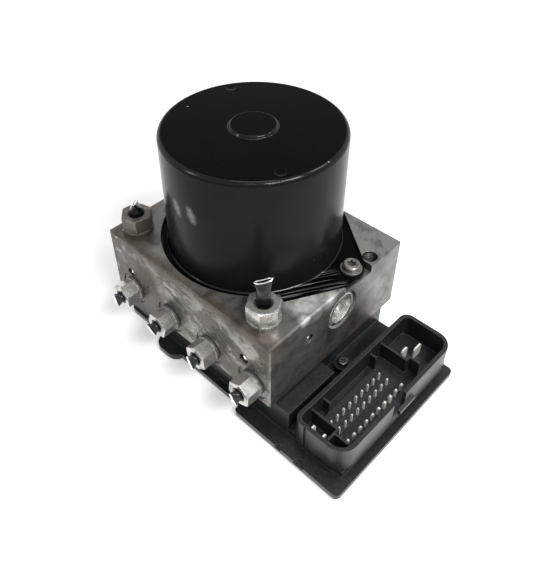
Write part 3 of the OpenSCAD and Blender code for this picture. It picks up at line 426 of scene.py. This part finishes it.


# Motor can: glossy black coating with fine dust and scratches on the flange, a lighter tone on the sides
# than on the top as painted light, and two pale blobs on its left side as a painted window reflection
canLook = {
    "paint": (0.0012, 0.0012, 0.0013, 1),
    # Lighter tone of the sides: painted light
    "sideLightTone": (0.013, 0.013, 0.0135, 1),
    "dust": (0.2, 0.198, 0.195, 1),
    "chip": (0.6, 0.59, 0.57, 1),
    # Two pale slanted blobs on the left side of the can: a painted reflection of a window
    "paintedReflection": (0.34, 0.34, 0.36, 1),
    "reflectionSpots": [
        ((-5.6, -39.6, 92.6), 2.6, 2.2), ((-4.8, -39.7, 90.4), 3.1, 2.4), ((-4.0, -39.8, 88.2), 2.4, 2.2),
        ((3.2, -39.8, 93.4), 2.4, 2.0), ((3.9, -39.7, 91.0), 3.0, 2.2), ((4.7, -39.6, 88.6), 2.4, 2.0),
    ],
    "reflectionNoise": 160.0, "reflectionRange": (0.3, 0.6, 0.4, 1.0), "reflectionShare": 0.8, "reflectionRough": 0.5,
    "scratched": ((42.7, -9.8, 56.0), 16.5, 4.0), "scratchTurn": (0, 0, 59), "scratchFiner": (0.6, 22, 5),
    "scratch": (26.0, 2.0, 0.5), "scratchMiddle": 0.5, "scratchLine": (0.02, 0.004),
    "flangeFacing": (0.7, 0.95), "scratchShare": 0.3,
    "specks": (300.0, 0.008), "speckTurn": (20, 35, 50), "speckFiner": (1, 1.6, 0.8), "speckShare": 0.6,
    "dustGrain": (900.0, 0.012), "dustRough": 0.8,
    "sideFacing": (0.4, 0.05), "sideLightNoise": (25.0, 4.0), "sideLightRange": (0.3, 0.65, 0.4, 1.0),
    "roughNoise": (60.0, 4.0), "roughRange": (0.3, 0.7, 0.1, 0.15), "sideRough": 0.12,
    "rimStart": (0.25, 0.5), "rimEnd": (0.985, 0.93),
    "gloss": 0.02, "sideGloss": 0.03, "rimGloss": 0.2,
    "edgeRadius": 0.25 * mm, "peel": (700.0, 2.0), "bump": (0.02 * mm, 0.12),
}


def flangeScratches(tree, place, look):
    along = turned(tree, place, look["scratchTurn"], look["scratchFiner"])
    lines = calc(tree, "ABSOLUTE", minus(tree, noise(tree, along, *look["scratch"]), look["scratchMiddle"]))
    lines = remap(tree, lines, *look["scratchLine"])
    lines = times(tree, lines, nearPlace(tree, place, *look["scratched"]))
    return times(tree, lines, remap(tree, facing(tree, "Z"), *look["flangeFacing"]))


def makeCanMaterial(look):
    material, tree, shader, place = startMaterial("blackCanCoat")
    dust = settledDust(tree, place, *look["dustGrain"])
    specks = brightSpecks(tree, turned(tree, place, look["speckTurn"], look["speckFiner"]), *look["specks"])
    lines = times(tree, flangeScratches(tree, place, look), look["scratchShare"])
    worn = most(tree, times(tree, specks, look["speckShare"]), lines)
    # Painted window reflection, broken up by noise, paler in colour and rougher
    reflectionBlotches = remap(tree, noise(tree, place, look["reflectionNoise"]), *look["reflectionRange"])
    paintedReflection = times(tree, addSpots(tree, place, look["reflectionSpots"]), reflectionBlotches)
    up = facing(tree, "Z")
    side = remap(tree, up, *look["sideFacing"])
    # The sides take the lighter tone in soft clouds: painted light
    sideLightVariation = remap(tree, noise(tree, place, *look["sideLightNoise"]), *look["sideLightRange"])
    colour = blendColour(tree, times(tree, side, sideLightVariation), look["paint"], look["sideLightTone"])
    colour = blendColour(tree, dust, colour, look["dust"])
    colour = blendColour(tree, times(tree, paintedReflection, look["reflectionShare"]), colour, look["paintedReflection"])
    colour = blendColour(tree, worn, colour, look["chip"])
    dust = most(tree, dust, times(tree, paintedReflection, look["reflectionRough"]))
    rough = remap(tree, noise(tree, place, *look["roughNoise"]), *look["roughRange"])
    rough = plus(tree, rough, times(tree, dust, look["dustRough"]))
    rough = plus(tree, rough, times(tree, side, look["sideRough"]))
    rim = times(tree, remap(tree, up, *look["rimStart"]), remap(tree, up, *look["rimEnd"]))
    gloss = plus(tree, look["gloss"], times(tree, side, look["sideGloss"]))
    gloss = plus(tree, times(tree, rim, look["rimGloss"]), gloss)
    edges = wornEdges(tree, look["edgeRadius"])
    normal = bumpNormal(tree, noise(tree, place, *look["peel"]), *look["bump"], edges["Normal"])
    setShader(tree, shader, Base_Color=colour, Roughness=rough, Normal=normal, Specular_IOR_Level=gloss)
    return material


# Zinc plated steel with grime in patches and painted shade in its corners, used by nuts and screws
zincLook = {
    "patchScale": 210.0, "patchSoft": 0.1, "patchShare": 0.7, "corner": (3.5 * mm, 0.85, 0.4),
    "scratches": (160.0, 0.5), "edgeRadius": 0.3 * mm, "edgeShare": 0.6, "edgeLift": 1.5,
    "roughNoise": 500.0, "roughMiddle": (0.3, 0.7), "roughSpread": 0.12, "grimeRough": 0.3,
    "pits": (900.0, 4.0), "bump": (0.02 * mm, 0.4), "grimeDull": 0.7,
}


def makeZincMaterial(look, name, metal, grimeShadeColour, cover, smooth=0.18, bare=1.0):
    material, tree, shader, place = startMaterial(name)
    # Grime in patches, and darkening in the corners as painted shade
    grimeAndShadeMask = patches(tree, place, look["patchScale"], cover, look["patchSoft"])
    grimeAndShadeMask = most(tree, times(tree, grimeAndShadeMask, look["patchShare"]), cornerDirt(tree, *look["corner"]))
    colour = blendColour(tree, grimeAndShadeMask, metal, grimeShadeColour)
    edges = wornEdges(tree, look["edgeRadius"])
    worn = times(tree, edges["Mask"], look["edgeShare"])
    worn = most(tree, fineScratches(tree, place, *look["scratches"]), worn)
    lifted = tuple(min(1.0, c * look["edgeLift"]) for c in metal[:3]) + (1,)
    colour = blendColour(tree, worn, colour, lifted)
    rough = noise(tree, place, look["roughNoise"])
    rough = remap(tree, rough, *look["roughMiddle"], smooth, smooth + look["roughSpread"])
    rough = plus(tree, rough, times(tree, grimeAndShadeMask, look["grimeRough"]))
    normal = bumpNormal(tree, noise(tree, place, *look["pits"]), *look["bump"], edges["Normal"])
    metallic = minus(tree, bare, times(tree, grimeAndShadeMask, look["grimeDull"] * bare))
    setShader(tree, shader, Base_Color=colour, Metallic=metallic, Roughness=rough, Normal=normal)
    return material


# Moulded black plastic with rubbed edges and settled dust
plasticLook = {
    "black": (0.0085, 0.009, 0.0098, 1),
    "worn": (0.11, 0.113, 0.118, 1),
    "dust": (0.3, 0.29, 0.27, 1), "dustScale": 700.0,
    "edgeRadius": 0.3 * mm, "edgeShare": 0.9, "scuffs": (70.0, 0.35),
    "roughNoise": (90.0, 4.0), "roughMiddle": (0.3, 0.7), "gloss": 0.3,
    "grain": (1600.0, 3.0), "waves": 200.0, "waveShare": 0.5, "bump": (0.03 * mm, 0.3),
}


def makePlasticMaterial(look, name, roughLow, roughHigh, dustAmount):
    material, tree, shader, place = startMaterial(name)
    edges = wornEdges(tree, look["edgeRadius"])
    colour = blendColour(tree, times(tree, edges["Mask"], look["edgeShare"]), look["black"], look["worn"])
    colour = blendColour(tree, fineScratches(tree, place, *look["scuffs"]), colour, look["worn"])
    dust = settledDust(tree, place, look["dustScale"], dustAmount)
    colour = blendColour(tree, dust, colour, look["dust"])
    rough = noise(tree, place, *look["roughNoise"])
    rough = remap(tree, rough, *look["roughMiddle"], roughLow, roughHigh)
    waves = times(tree, noise(tree, place, look["waves"]), look["waveShare"])
    grain = plus(tree, noise(tree, place, *look["grain"]), waves)
    normal = bumpNormal(tree, grain, *look["bump"], edges["Normal"])
    setShader(tree, shader, Base_Color=colour, Roughness=rough, Normal=normal,
              Specular_IOR_Level=look["gloss"])
    return material


# Pins and inner pieces: one colour family with grain
innerLook = {
    "cover": 0.5, "soft": 0.2, "edgeRadius": 0.2 * mm,
    "roughFiner": 3, "roughMiddle": (0.3, 0.7), "roughSpread": 0.06,
    "grainFiner": 6, "grainDetail": 3.0, "bump": (0.02 * mm, 0.4),
}


def makeInnerMaterial(look, name, light, dark, metallic, rough, scale=200.0):
    material, tree, shader, place = startMaterial(name)
    edges = wornEdges(tree, look["edgeRadius"])
    colour = blendColour(tree, patches(tree, place, scale, look["cover"], look["soft"]), light, dark)
    smooth, dull = rough - look["roughSpread"], rough + look["roughSpread"]
    roughness = noise(tree, place, scale * look["roughFiner"])
    roughness = remap(tree, roughness, *look["roughMiddle"], smooth, dull)
    grain = noise(tree, place, scale * look["grainFiner"], look["grainDetail"])
    normal = bumpNormal(tree, grain, *look["bump"], edges["Normal"])
    setShader(tree, shader, Base_Color=colour, Metallic=metallic, Roughness=roughness, Normal=normal)
    return material


# Zinc and steel: metal, colour of the grime and of the painted corner shade, cover of the grime and, for
# some, lowest roughness and metallic share
zincKinds = {
    "nutZinc": ((0.47, 0.455, 0.43, 1), (0.022, 0.017, 0.013, 1), 0.42, 0.12, 0.75),
    "nutGrimy": ((0.25, 0.225, 0.195, 1), (0.03, 0.02, 0.014, 1), 0.75, 0.2),
    "screwZinc": ((0.27, 0.258, 0.238, 1), (0.03, 0.026, 0.022, 1), 0.6),
    "postZinc": ((0.12, 0.118, 0.115, 1), (0.02, 0.018, 0.016, 1), 0.5),
    "plugMetal": ((0.5, 0.487, 0.465, 1), (0.07, 0.06, 0.05, 1), 0.35),
    "ballSteel": ((0.8, 0.785, 0.76, 1), (0.2, 0.18, 0.16, 1), 0.2),
    "cutSteel": ((0.85, 0.84, 0.82, 1), (0.3, 0.27, 0.23, 1), 0.1),
}
# Plastic: lowest and highest roughness, amount of dust
plasticKinds = {
    "housingPlastic": (0.28, 0.42, 0.07),
    "coverPlastic": (0.4, 0.55, 0.05),
    "pipeBlackCoat": (0.16, 0.3, 0.05),
}
# Pins and inner pieces: light and dark colour, metallic, roughness and, for the pins, the grain's scale
innerKinds = {
    "ferriteMagnet": ((0.05, 0.05, 0.055, 1), (0.03, 0.03, 0.033, 1), 0.1, 0.6),
    "coreSheets": ((0.3, 0.3, 0.31, 1), (0.16, 0.15, 0.14, 1), 1.0, 0.45),
    "windingEnamel": ((0.62, 0.24, 0.09, 1), (0.4, 0.14, 0.05, 1), 0.9, 0.35),
    "commutatorCopper": ((0.8, 0.42, 0.24, 1), (0.4, 0.2, 0.12, 1), 1.0, 0.32),
    "pressedCarbon": ((0.03, 0.03, 0.03, 1), (0.015, 0.015, 0.015, 1), 0.0, 0.6),
    "phenolicPlate": ((0.2, 0.13, 0.07, 1), (0.13, 0.08, 0.04, 1), 0.0, 0.5),
    "boardGreen": ((0.02, 0.15, 0.06, 1), (0.015, 0.09, 0.04, 1), 0.0, 0.35),
    "gasketRubber": ((0.015, 0.015, 0.015, 1), (0.03, 0.03, 0.03, 1), 0.0, 0.75),
    "coilBobbin": ((0.3, 0.09, 0.035, 1), (0.18, 0.05, 0.02, 1), 0.0, 0.4),
    "shieldSteel": ((0.55, 0.55, 0.56, 1), (0.3, 0.29, 0.28, 1), 1.0, 0.35),
    "sleeveNylon": ((0.03, 0.03, 0.032, 1), (0.02, 0.02, 0.02, 1), 0.0, 0.45),
    "tinnedPin": ((0.9, 0.89, 0.86, 1), (0.7, 0.68, 0.64, 1), 0.45, 0.32, 900.0),
    "groundSteel": ((0.66, 0.67, 0.69, 1), (0.45, 0.45, 0.46, 1), 1.0, 0.22),
    "springWire": ((0.5, 0.5, 0.52, 1), (0.25, 0.24, 0.23, 1), 1.0, 0.3),
}

print("building materials")
finishes = {"milledBlock": makeBlockMaterial(blockLook), "blackCanCoat": makeCanMaterial(canLook)}
for name, values in zincKinds.items():
    finishes[name] = makeZincMaterial(zincLook, name, *values)
for name, values in plasticKinds.items():
    finishes[name] = makePlasticMaterial(plasticLook, name, *values)
for name, values in innerKinds.items():
    finishes[name] = makeInnerMaterial(innerLook, name, *values)

# Finish of each carried-over node, by the start of its name; the rest is ground steel
wornBy = {
    "hydraulic_block": "milledBlock", "motor_can": "blackCanCoat", "motor_screws": "screwZinc",
    "motor_terminals": "tinnedPin", "housing_screw": "postZinc", "accumulator_caps": "screwZinc",
    "inlet_nut_left": "nutGrimy", "inlet_nut_right": "nutZinc", "outlet_nut": "nutZinc",
    "inlet_pipe": "pipeBlackCoat", "outlet_pipe": "pipeBlackCoat", "ball_plugs": "ballSteel",
    "pump_plug": "plugMetal", "pump_spring": "springWire", "accumulator_spring": "springWire",
    "brush_springs": "springWire", "ecu_housing": "housingPlastic", "ecu_cover": "coverPlastic",
    "signal_pins": "tinnedPin", "power_blades": "tinnedPin", "magnets": "ferriteMagnet",
    "armature_core": "coreSheets", "armature_windings": "windingEnamel",
    "commutator": "commutatorCopper", "brushes": "pressedCarbon", "brush_holder": "phenolicPlate",
    "circuit_board": "boardGreen", "ecu_gasket": "gasketRubber", "valve_coils": "coilBobbin",
    "end_shield": "shieldSteel", "terminal_sleeve": "sleeveNylon",
}


def finishOf(node):
    for start, finish in wornBy.items():
        if node.startswith(start):
            return finishes[finish]
    return finishes["groundSteel"]


for node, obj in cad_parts.items():
    obj.data.materials.clear()
    obj.data.materials.append(finishOf(node))
print("materials on the carried-over nodes")


def addPiece(name, shape, *materials):
    data = bpy.data.meshes.new(name)
    shape.to_mesh(data)
    shape.free()
    for material in materials:
        data.materials.append(material)
    piece = bpy.data.objects.new(name, data)
    bpy.context.scene.collection.objects.link(piece)
    return piece


def bridgeRings(shape, first, second, smooth=True):
    faces = []
    for k in range(len(first)):
        n = (k + 1) % len(first)
        face = shape.faces.new((first[k], first[n], second[n], second[k]))
        face.smooth = smooth
        faces.append(face)
    return faces


# Pipe stubs: round where they leave the nut, then crushed and torn open where they were cut.
# Sizes in millimetres: squeeze is the crushed length, wide and thick are half sizes of the cut end
outletPipe = {"radius": 2.37, "wall": 0.7, "buried": 7.0}
inletPipe = {"radius": 2.98, "wall": 0.8, "buried": 8.0}
stubLooks = {
    "outlet_pipe_1": {**outletPipe, "turn": -57, "squeeze": 2.9, "wide": 3.25, "thick": 0.8,
                      "slant": 0.12, "bow": 0.3},
    "outlet_pipe_2": {**outletPipe, "turn": -44, "squeeze": 2.6, "wide": 3.2, "thick": 0.75,
                      "slant": -0.1, "bow": 0.2},
    "outlet_pipe_3": {**outletPipe, "turn": -54, "squeeze": 2.8, "wide": 3.25, "thick": 0.8,
                      "slant": 0.08, "bow": 0.35},
    "outlet_pipe_4": {**outletPipe, "turn": -61, "squeeze": 2.7, "wide": 3.25, "thick": 0.85,
                      "slant": -0.06, "bow": 0.25},
    "inlet_pipe_left": {**inletPipe, "turn": -45, "squeeze": 4.5, "wide": 4.0, "thick": 0.9,
                        "slant": 0.35, "bow": 0.3},
    "inlet_pipe_right": {**inletPipe, "turn": 45, "squeeze": 4.2, "wide": 3.7, "thick": 1.3,
                         "slant": 0.3, "bow": 0.6},
}
stubMesh = {
    "around": 56, "crushedRings": 12, "firstRing": 0.12, "flatten": 0.3, "bowMiddle": 0.4,
    "tears": 14, "tear": 0.16, "tearShare": 0.6, "burr": 0.05,
    "outerLip": 0.08, "innerLip": 0.06, "innerDepths": (0.1, 0.4, 1.0), "innerEnd": 1.5,
}


# Inlet stubs stand up from the top end of their CAD pipe, outlet stubs point forward from its front end
def stubFrame(node, look):
    low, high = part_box(node)
    middle = [(a + b) / 2 for a, b in zip(low, high)]
    turn = Matrix.Rotation(math.radians(look["turn"]), 4, "Z")
    if node.startswith("inlet"):
        return Matrix.Translation((middle[0], middle[1], high[2])) @ turn
    forward = Matrix.Rotation(math.radians(90), 4, "X")
    return Matrix.Translation((middle[0], low[1], middle[2])) @ (forward @ turn)


def stubRing(look, depth, thin, ragged):
    ring = []
    amount = max(0.0, 1.0 - depth / look["squeeze"])
    amount = amount * amount * (3 - 2 * amount)  # eases in and out
    wide = look["radius"] + (look["wide"] - look["radius"]) * amount - thin
    thick = look["radius"] + (look["thick"] - look["radius"]) * amount - thin
    power = 1.0 - stubMesh["flatten"] * amount
    for k in range(len(ragged)):
        angle = 2 * math.pi * k / len(ragged)
        x = wide * math.copysign(abs(math.cos(angle)) ** power, math.cos(angle))
        y = thick * math.copysign(abs(math.sin(angle)) ** power, math.sin(angle))
        y += look["bow"] * amount * ((x / look["wide"]) ** 2 - stubMesh["bowMiddle"])
        lift = amount * (look["slant"] * x + ragged[k])
        ring.append(Vector((x, y, lift - depth)) * mm)
    return ring


def makeStub(node, look):
    count, tears = stubMesh["around"], stubMesh["tears"]
    tear, burr = stubMesh["tear"], stubMesh["burr"]
    chance = random.Random(node)  # each stub tears its own way, the same in every run
    steps = [chance.uniform(-tear, tear) for k in range(tears)]
    ragged = [steps[k * tears // count] * stubMesh["tearShare"] + chance.uniform(-burr, burr)
              for k in range(count)]
    place = stubFrame(node, look)
    squeeze, crushed = look["squeeze"], stubMesh["crushedRings"]
    depths = [look["buried"] + squeeze] + [squeeze * (1 - i / crushed) for i in range(crushed)]
    depths.append(stubMesh["firstRing"])
    rings = [stubRing(look, depth, 0.0, ragged) for depth in depths]
    rings.append(stubRing(look, 0.0, stubMesh["outerLip"], ragged))
    rings.append(stubRing(look, 0.0, look["wall"] - stubMesh["innerLip"], ragged))
    for depth in stubMesh["innerDepths"] + (squeeze, squeeze + stubMesh["innerEnd"]):
        rings.append(stubRing(look, depth, look["wall"], ragged))
    shape = bmesh.new()
    loops = [[shape.verts.new(place @ point) for point in ring] for ring in rings]
    cutFrom = len(depths) - 1
    for i, (first, second) in enumerate(zip(loops, loops[1:])):
        for face in bridgeRings(shape, first, second):
            face.material_index = 1 if cutFrom <= i <= cutFrom + 2 else 0  # the lip is bare steel
    shape.faces.new(list(reversed(loops[0])))
    shape.faces.new(loops[-1])
    bmesh.ops.recalc_face_normals(shape, faces=shape.faces[:])
    piece = addPiece(node + "_cut", shape, finishes["pipeBlackCoat"], finishes["cutSteel"])
    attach(piece, unitBody)
    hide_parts(node)


for node, look in stubLooks.items():
    makeStub(node, look)
print("pipe stubs made")

# Coil springs in place of the CAD springs. Fixed says which end of the axis stays, 0 the low one;
# wire and stroke are in millimetres
pumpSpring = {"axis": 0, "wire": 0.9, "turns": 5, "stroke": 3.0}
storeSpring = {"axis": 2, "wire": 1.1, "turns": 4, "stroke": 5.0}
springLooks = {
    "pump_spring_left": {**pumpSpring, "joint": "left_pump_stroke", "fixed": 0},
    "pump_spring_right": {**pumpSpring, "joint": "right_pump_stroke", "fixed": 1},
    "accumulator_spring_left": {**storeSpring, "joint": "left_store_stroke", "fixed": 0},
    "accumulator_spring_right": {**storeSpring, "joint": "right_store_stroke", "fixed": 0},
}
# endShare of the wire at either end climbs at endSlope of an even coil, and air is the gap to a seat
springMesh = {"endShare": 0.14, "endSlope": 0.25, "air": 0.03 * mm, "perTurn": 28, "sides": 12}


# The wire's circle, in a plane that holds the axis, is spun up the axis in three stages
def makeSpring(node, look):
    low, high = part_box(node)
    axis = look["axis"]
    radial, aside = [i for i in range(3) if i != axis]
    middle = [(a + b) / 2 for a, b in zip(low, high)]
    direction = tuple(1.0 if i == axis else 0.0 for i in range(3))
    whole = high[axis] - low[axis]
    wire = look["wire"] / 2 * mm
    length = whole - 2 * (springMesh["air"] + wire)
    start = Vector(middle)
    start[axis] = low[axis] + springMesh["air"] + wire
    start[radial] += (high[aside] - low[aside]) / 2 - wire
    across = Vector([1.0 if i == aside else 0.0 for i in range(3)]).to_track_quat("Z", "Y")
    shape = bmesh.new()
    bmesh.ops.create_circle(shape, segments=springMesh["sides"], radius=wire,
                            matrix=Matrix.Translation(start) @ across.to_matrix().to_4x4())
    end, slope = springMesh["endShare"], springMesh["endSlope"]
    allSteps = look["turns"] * springMesh["perTurn"]
    endSteps = round(end * allSteps)
    ends = (end, slope * end, endSteps)
    last = shape.verts[:] + shape.edges[:]
    for share, rise, steps in (ends, (1 - 2 * end, 1 - 2 * slope * end, allSteps - 2 * endSteps), ends):
        climb = Vector(direction) * (length * rise / steps)
        spun = bmesh.ops.spin(shape, geom=last, cent=middle, axis=direction, dvec=climb,
                              angle=2 * math.pi * share * look["turns"], steps=steps)
        last = spun["geom_last"]
    bmesh.ops.holes_fill(shape, edges=[edge for edge in shape.edges if edge.is_boundary])
    for face in shape.faces:
        face.smooth = len(face.verts) == 4  # the cut ends stay flat
    bmesh.ops.recalc_face_normals(shape, faces=shape.faces[:])
    piece = addPiece(node + "_wire", shape, finishes["springWire"])
    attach(piece, unitBody)
    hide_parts(node)
    anchor = list(middle)
    anchor[axis] = (low, high)[look["fixed"]][axis]
    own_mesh(piece)


for node, look in springLooks.items():
    makeSpring(node, look)
print("springs made")

# Thread in the open hole for the bracket: inset from the block's right and back faces, in millimetres
threadLook = {
    "inset": (4.1, 18.1), "outer": 3.38, "deep": 0.42, "pitch": 1.0, "turns": 11, "lead": 0.5,
    "around": 48, "perTurn": 8,
}


def makeThread(look):
    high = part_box("hydraulic_block")[1]
    middle = Vector((high[0] - look["inset"][0] * mm, high[1] - look["inset"][1] * mm, high[2]))
    around = look["around"]
    shape = bmesh.new()
    rows = []
    for i in range(look["turns"] * look["perTurn"] + 1):
        depth = look["lead"] + i * look["pitch"] / look["perTurn"]
        row = []
        for k in range(around):
            phase = (i / look["perTurn"] + k / around) % 1.0
            radius = look["outer"] - look["deep"] * (1 - abs(2 * phase - 1))
            angle = 2 * math.pi * k / around
            point = Vector((radius * math.cos(angle), radius * math.sin(angle), -depth))
            row.append(shape.verts.new(middle + point * mm))
        rows.append(row)
    for upper, lower in zip(rows, rows[1:]):
        bridgeRings(shape, upper, lower, smooth=False)
    piece = addPiece("bracket_thread", shape, finishes["milledBlock"])
    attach(piece, unitBody)


makeThread(threadLook)
print("thread made")

# Camera at the photograph's place
cameraSetup = {
    "azimuth": 44.988, "elevation": 40.382, "roll": -0.965, "distance": 0.29924,
    "target": (0.0, 0.0, 0.05805), "lens": 39.944, "shift": (0.0276, -0.1062),
    "sensor": 36.0, "nearest": 0.01,
}


def fromAngles(azimuth, elevation, distance, centre):
    flat = math.cos(math.radians(elevation)) * distance
    rise = math.sin(math.radians(elevation)) * distance
    turn = math.radians(azimuth)
    return Vector(centre) + Vector((flat * math.sin(turn), -flat * math.cos(turn), rise))


def makeCamera(setup):
    data = bpy.data.cameras.new("photoCamera")
    camera = bpy.data.objects.new("photoCamera", data)
    bpy.context.scene.collection.objects.link(camera)
    data.lens = setup["lens"]
    data.sensor_width = setup["sensor"]
    data.clip_start = setup["nearest"]
    data.shift_x, data.shift_y = setup["shift"]
    target = Vector(setup["target"])
    camera.location = fromAngles(setup["azimuth"], setup["elevation"], setup["distance"], target)
    aimed = (target - camera.location).to_track_quat("-Z", "Y").to_matrix().to_4x4()
    roll = Matrix.Rotation(math.radians(setup["roll"]), 4, "Z")
    camera.rotation_euler = (aimed @ roll).to_euler()
    bpy.context.scene.camera = camera


makeCamera(cameraSetup)

# Studio: pale floor, soft lamps, white surroundings
lamps = {
    "keyLamp": {"azimuth": 84, "elevation": 52, "distance": 0.9, "size": (0.5, 0.18), "power": 8.4},
    "windowLamp": {"azimuth": -32, "elevation": 30, "distance": 1.0, "size": (0.14, 0.4), "power": 1.4},
    "skyLamp": {"azimuth": -130, "elevation": 82, "distance": 1.1, "size": (0.4, 0.4), "power": 1.5},
    "rearLamp": {"azimuth": 150, "elevation": 53, "distance": 1.0, "size": (0.2, 0.2), "power": 1.2},
    "smallLamp": {"azimuth": 40, "elevation": 52, "distance": 0.9, "size": (0.09, 0.05), "power": 0.8},
}
lampTarget = Vector((0.02, 0, 0.05))


def makeLamp(name, setup):
    data = bpy.data.lights.new(name, "AREA")
    data.shape = "RECTANGLE"
    data.size, data.size_y = setup["size"]
    data.energy = setup["power"]
    lamp = bpy.data.objects.new(name, data)
    bpy.context.scene.collection.objects.link(lamp)
    lamp.location = fromAngles(setup["azimuth"], setup["elevation"], setup["distance"], lampTarget)
    lamp.rotation_euler = (lampTarget - lamp.location).to_track_quat("-Z", "Y").to_euler()


for name, setup in lamps.items():
    makeLamp(name, setup)

studioLook = {
    "ambient": 0.22, "white": 1.0,
    "floorSize": 6.0, "floorNoise": (30.0, 3.0), "floorTone": (0.3, 0.7, 0.86, 0.9), "floorRough": 0.9,
    "near": 0.25, "far": 1.2, "nearGlow": 0.35, "farGlow": 1.0, "mirrorGlow": 0.75,
}


def seenDirectly(tree):
    path = addNode(tree, "ShaderNodeLightPath").outputs
    return most(tree, path["Is Camera Ray"], path["Is Glossy Ray"], path["Is Transmission Ray"])


def makeWorld(look):
    world = bpy.data.worlds.new("studioWorld")
    bpy.context.scene.world = world
    world.use_nodes = True
    tree = world.node_tree
    tree.nodes.clear()
    strength = remap(tree, seenDirectly(tree), 0.0, 1.0, look["ambient"], look["white"])
    sky = addNode(tree, "ShaderNodeBackground", {"Color": (1, 1, 1, 1), "Strength": strength})
    output = addNode(tree, "ShaderNodeOutputWorld")
    tree.links.new(sky.outputs[0], output.inputs["Surface"])


# The floor glows only in what the camera or a mirror sees, and less near the part, where its shadow is
def makeFloorMaterial(look):
    material, tree, shader, place = startMaterial("paleFloor")
    tone = remap(tree, noise(tree, place, *look["floorNoise"]), *look["floorTone"])
    colour = addNode(tree, "ShaderNodeCombineColor", {0: tone, 1: tone, 2: tone}).outputs[0]
    setShader(tree, shader, Base_Color=colour, Roughness=look["floorRough"], Specular_IOR_Level=0.0)
    mirrored = addNode(tree, "ShaderNodeLightPath").outputs["Is Glossy Ray"]
    away = addNode(tree, "ShaderNodeVectorMath", {0: place}, operation="LENGTH").outputs["Value"]
    level = remap(tree, away, look["near"], look["far"], look["nearGlow"], look["farGlow"])
    seen = times(tree, seenDirectly(tree), level)
    strength = most(tree, seen, times(tree, mirrored, look["mirrorGlow"]))
    glow = addNode(tree, "ShaderNodeEmission", {"Color": (1, 1, 1, 1), "Strength": strength})
    both = addNode(tree, "ShaderNodeAddShader", {0: shader.outputs[0], 1: glow.outputs[0]})
    output = [n for n in tree.nodes if n.type == "OUTPUT_MATERIAL"][0]
    tree.links.new(both.outputs[0], output.inputs["Surface"])
    return material


def makeFloor(look):
    shape = bmesh.new()
    bmesh.ops.create_grid(shape, x_segments=1, y_segments=1, size=look["floorSize"] / 2)
    floor = addPiece("studioFloor", shape, makeFloorMaterial(look))


makeWorld(studioLook)
makeFloor(studioLook)
bpy.context.scene.view_settings.view_transform = "Standard"
print("camera, lamps and floor in place")
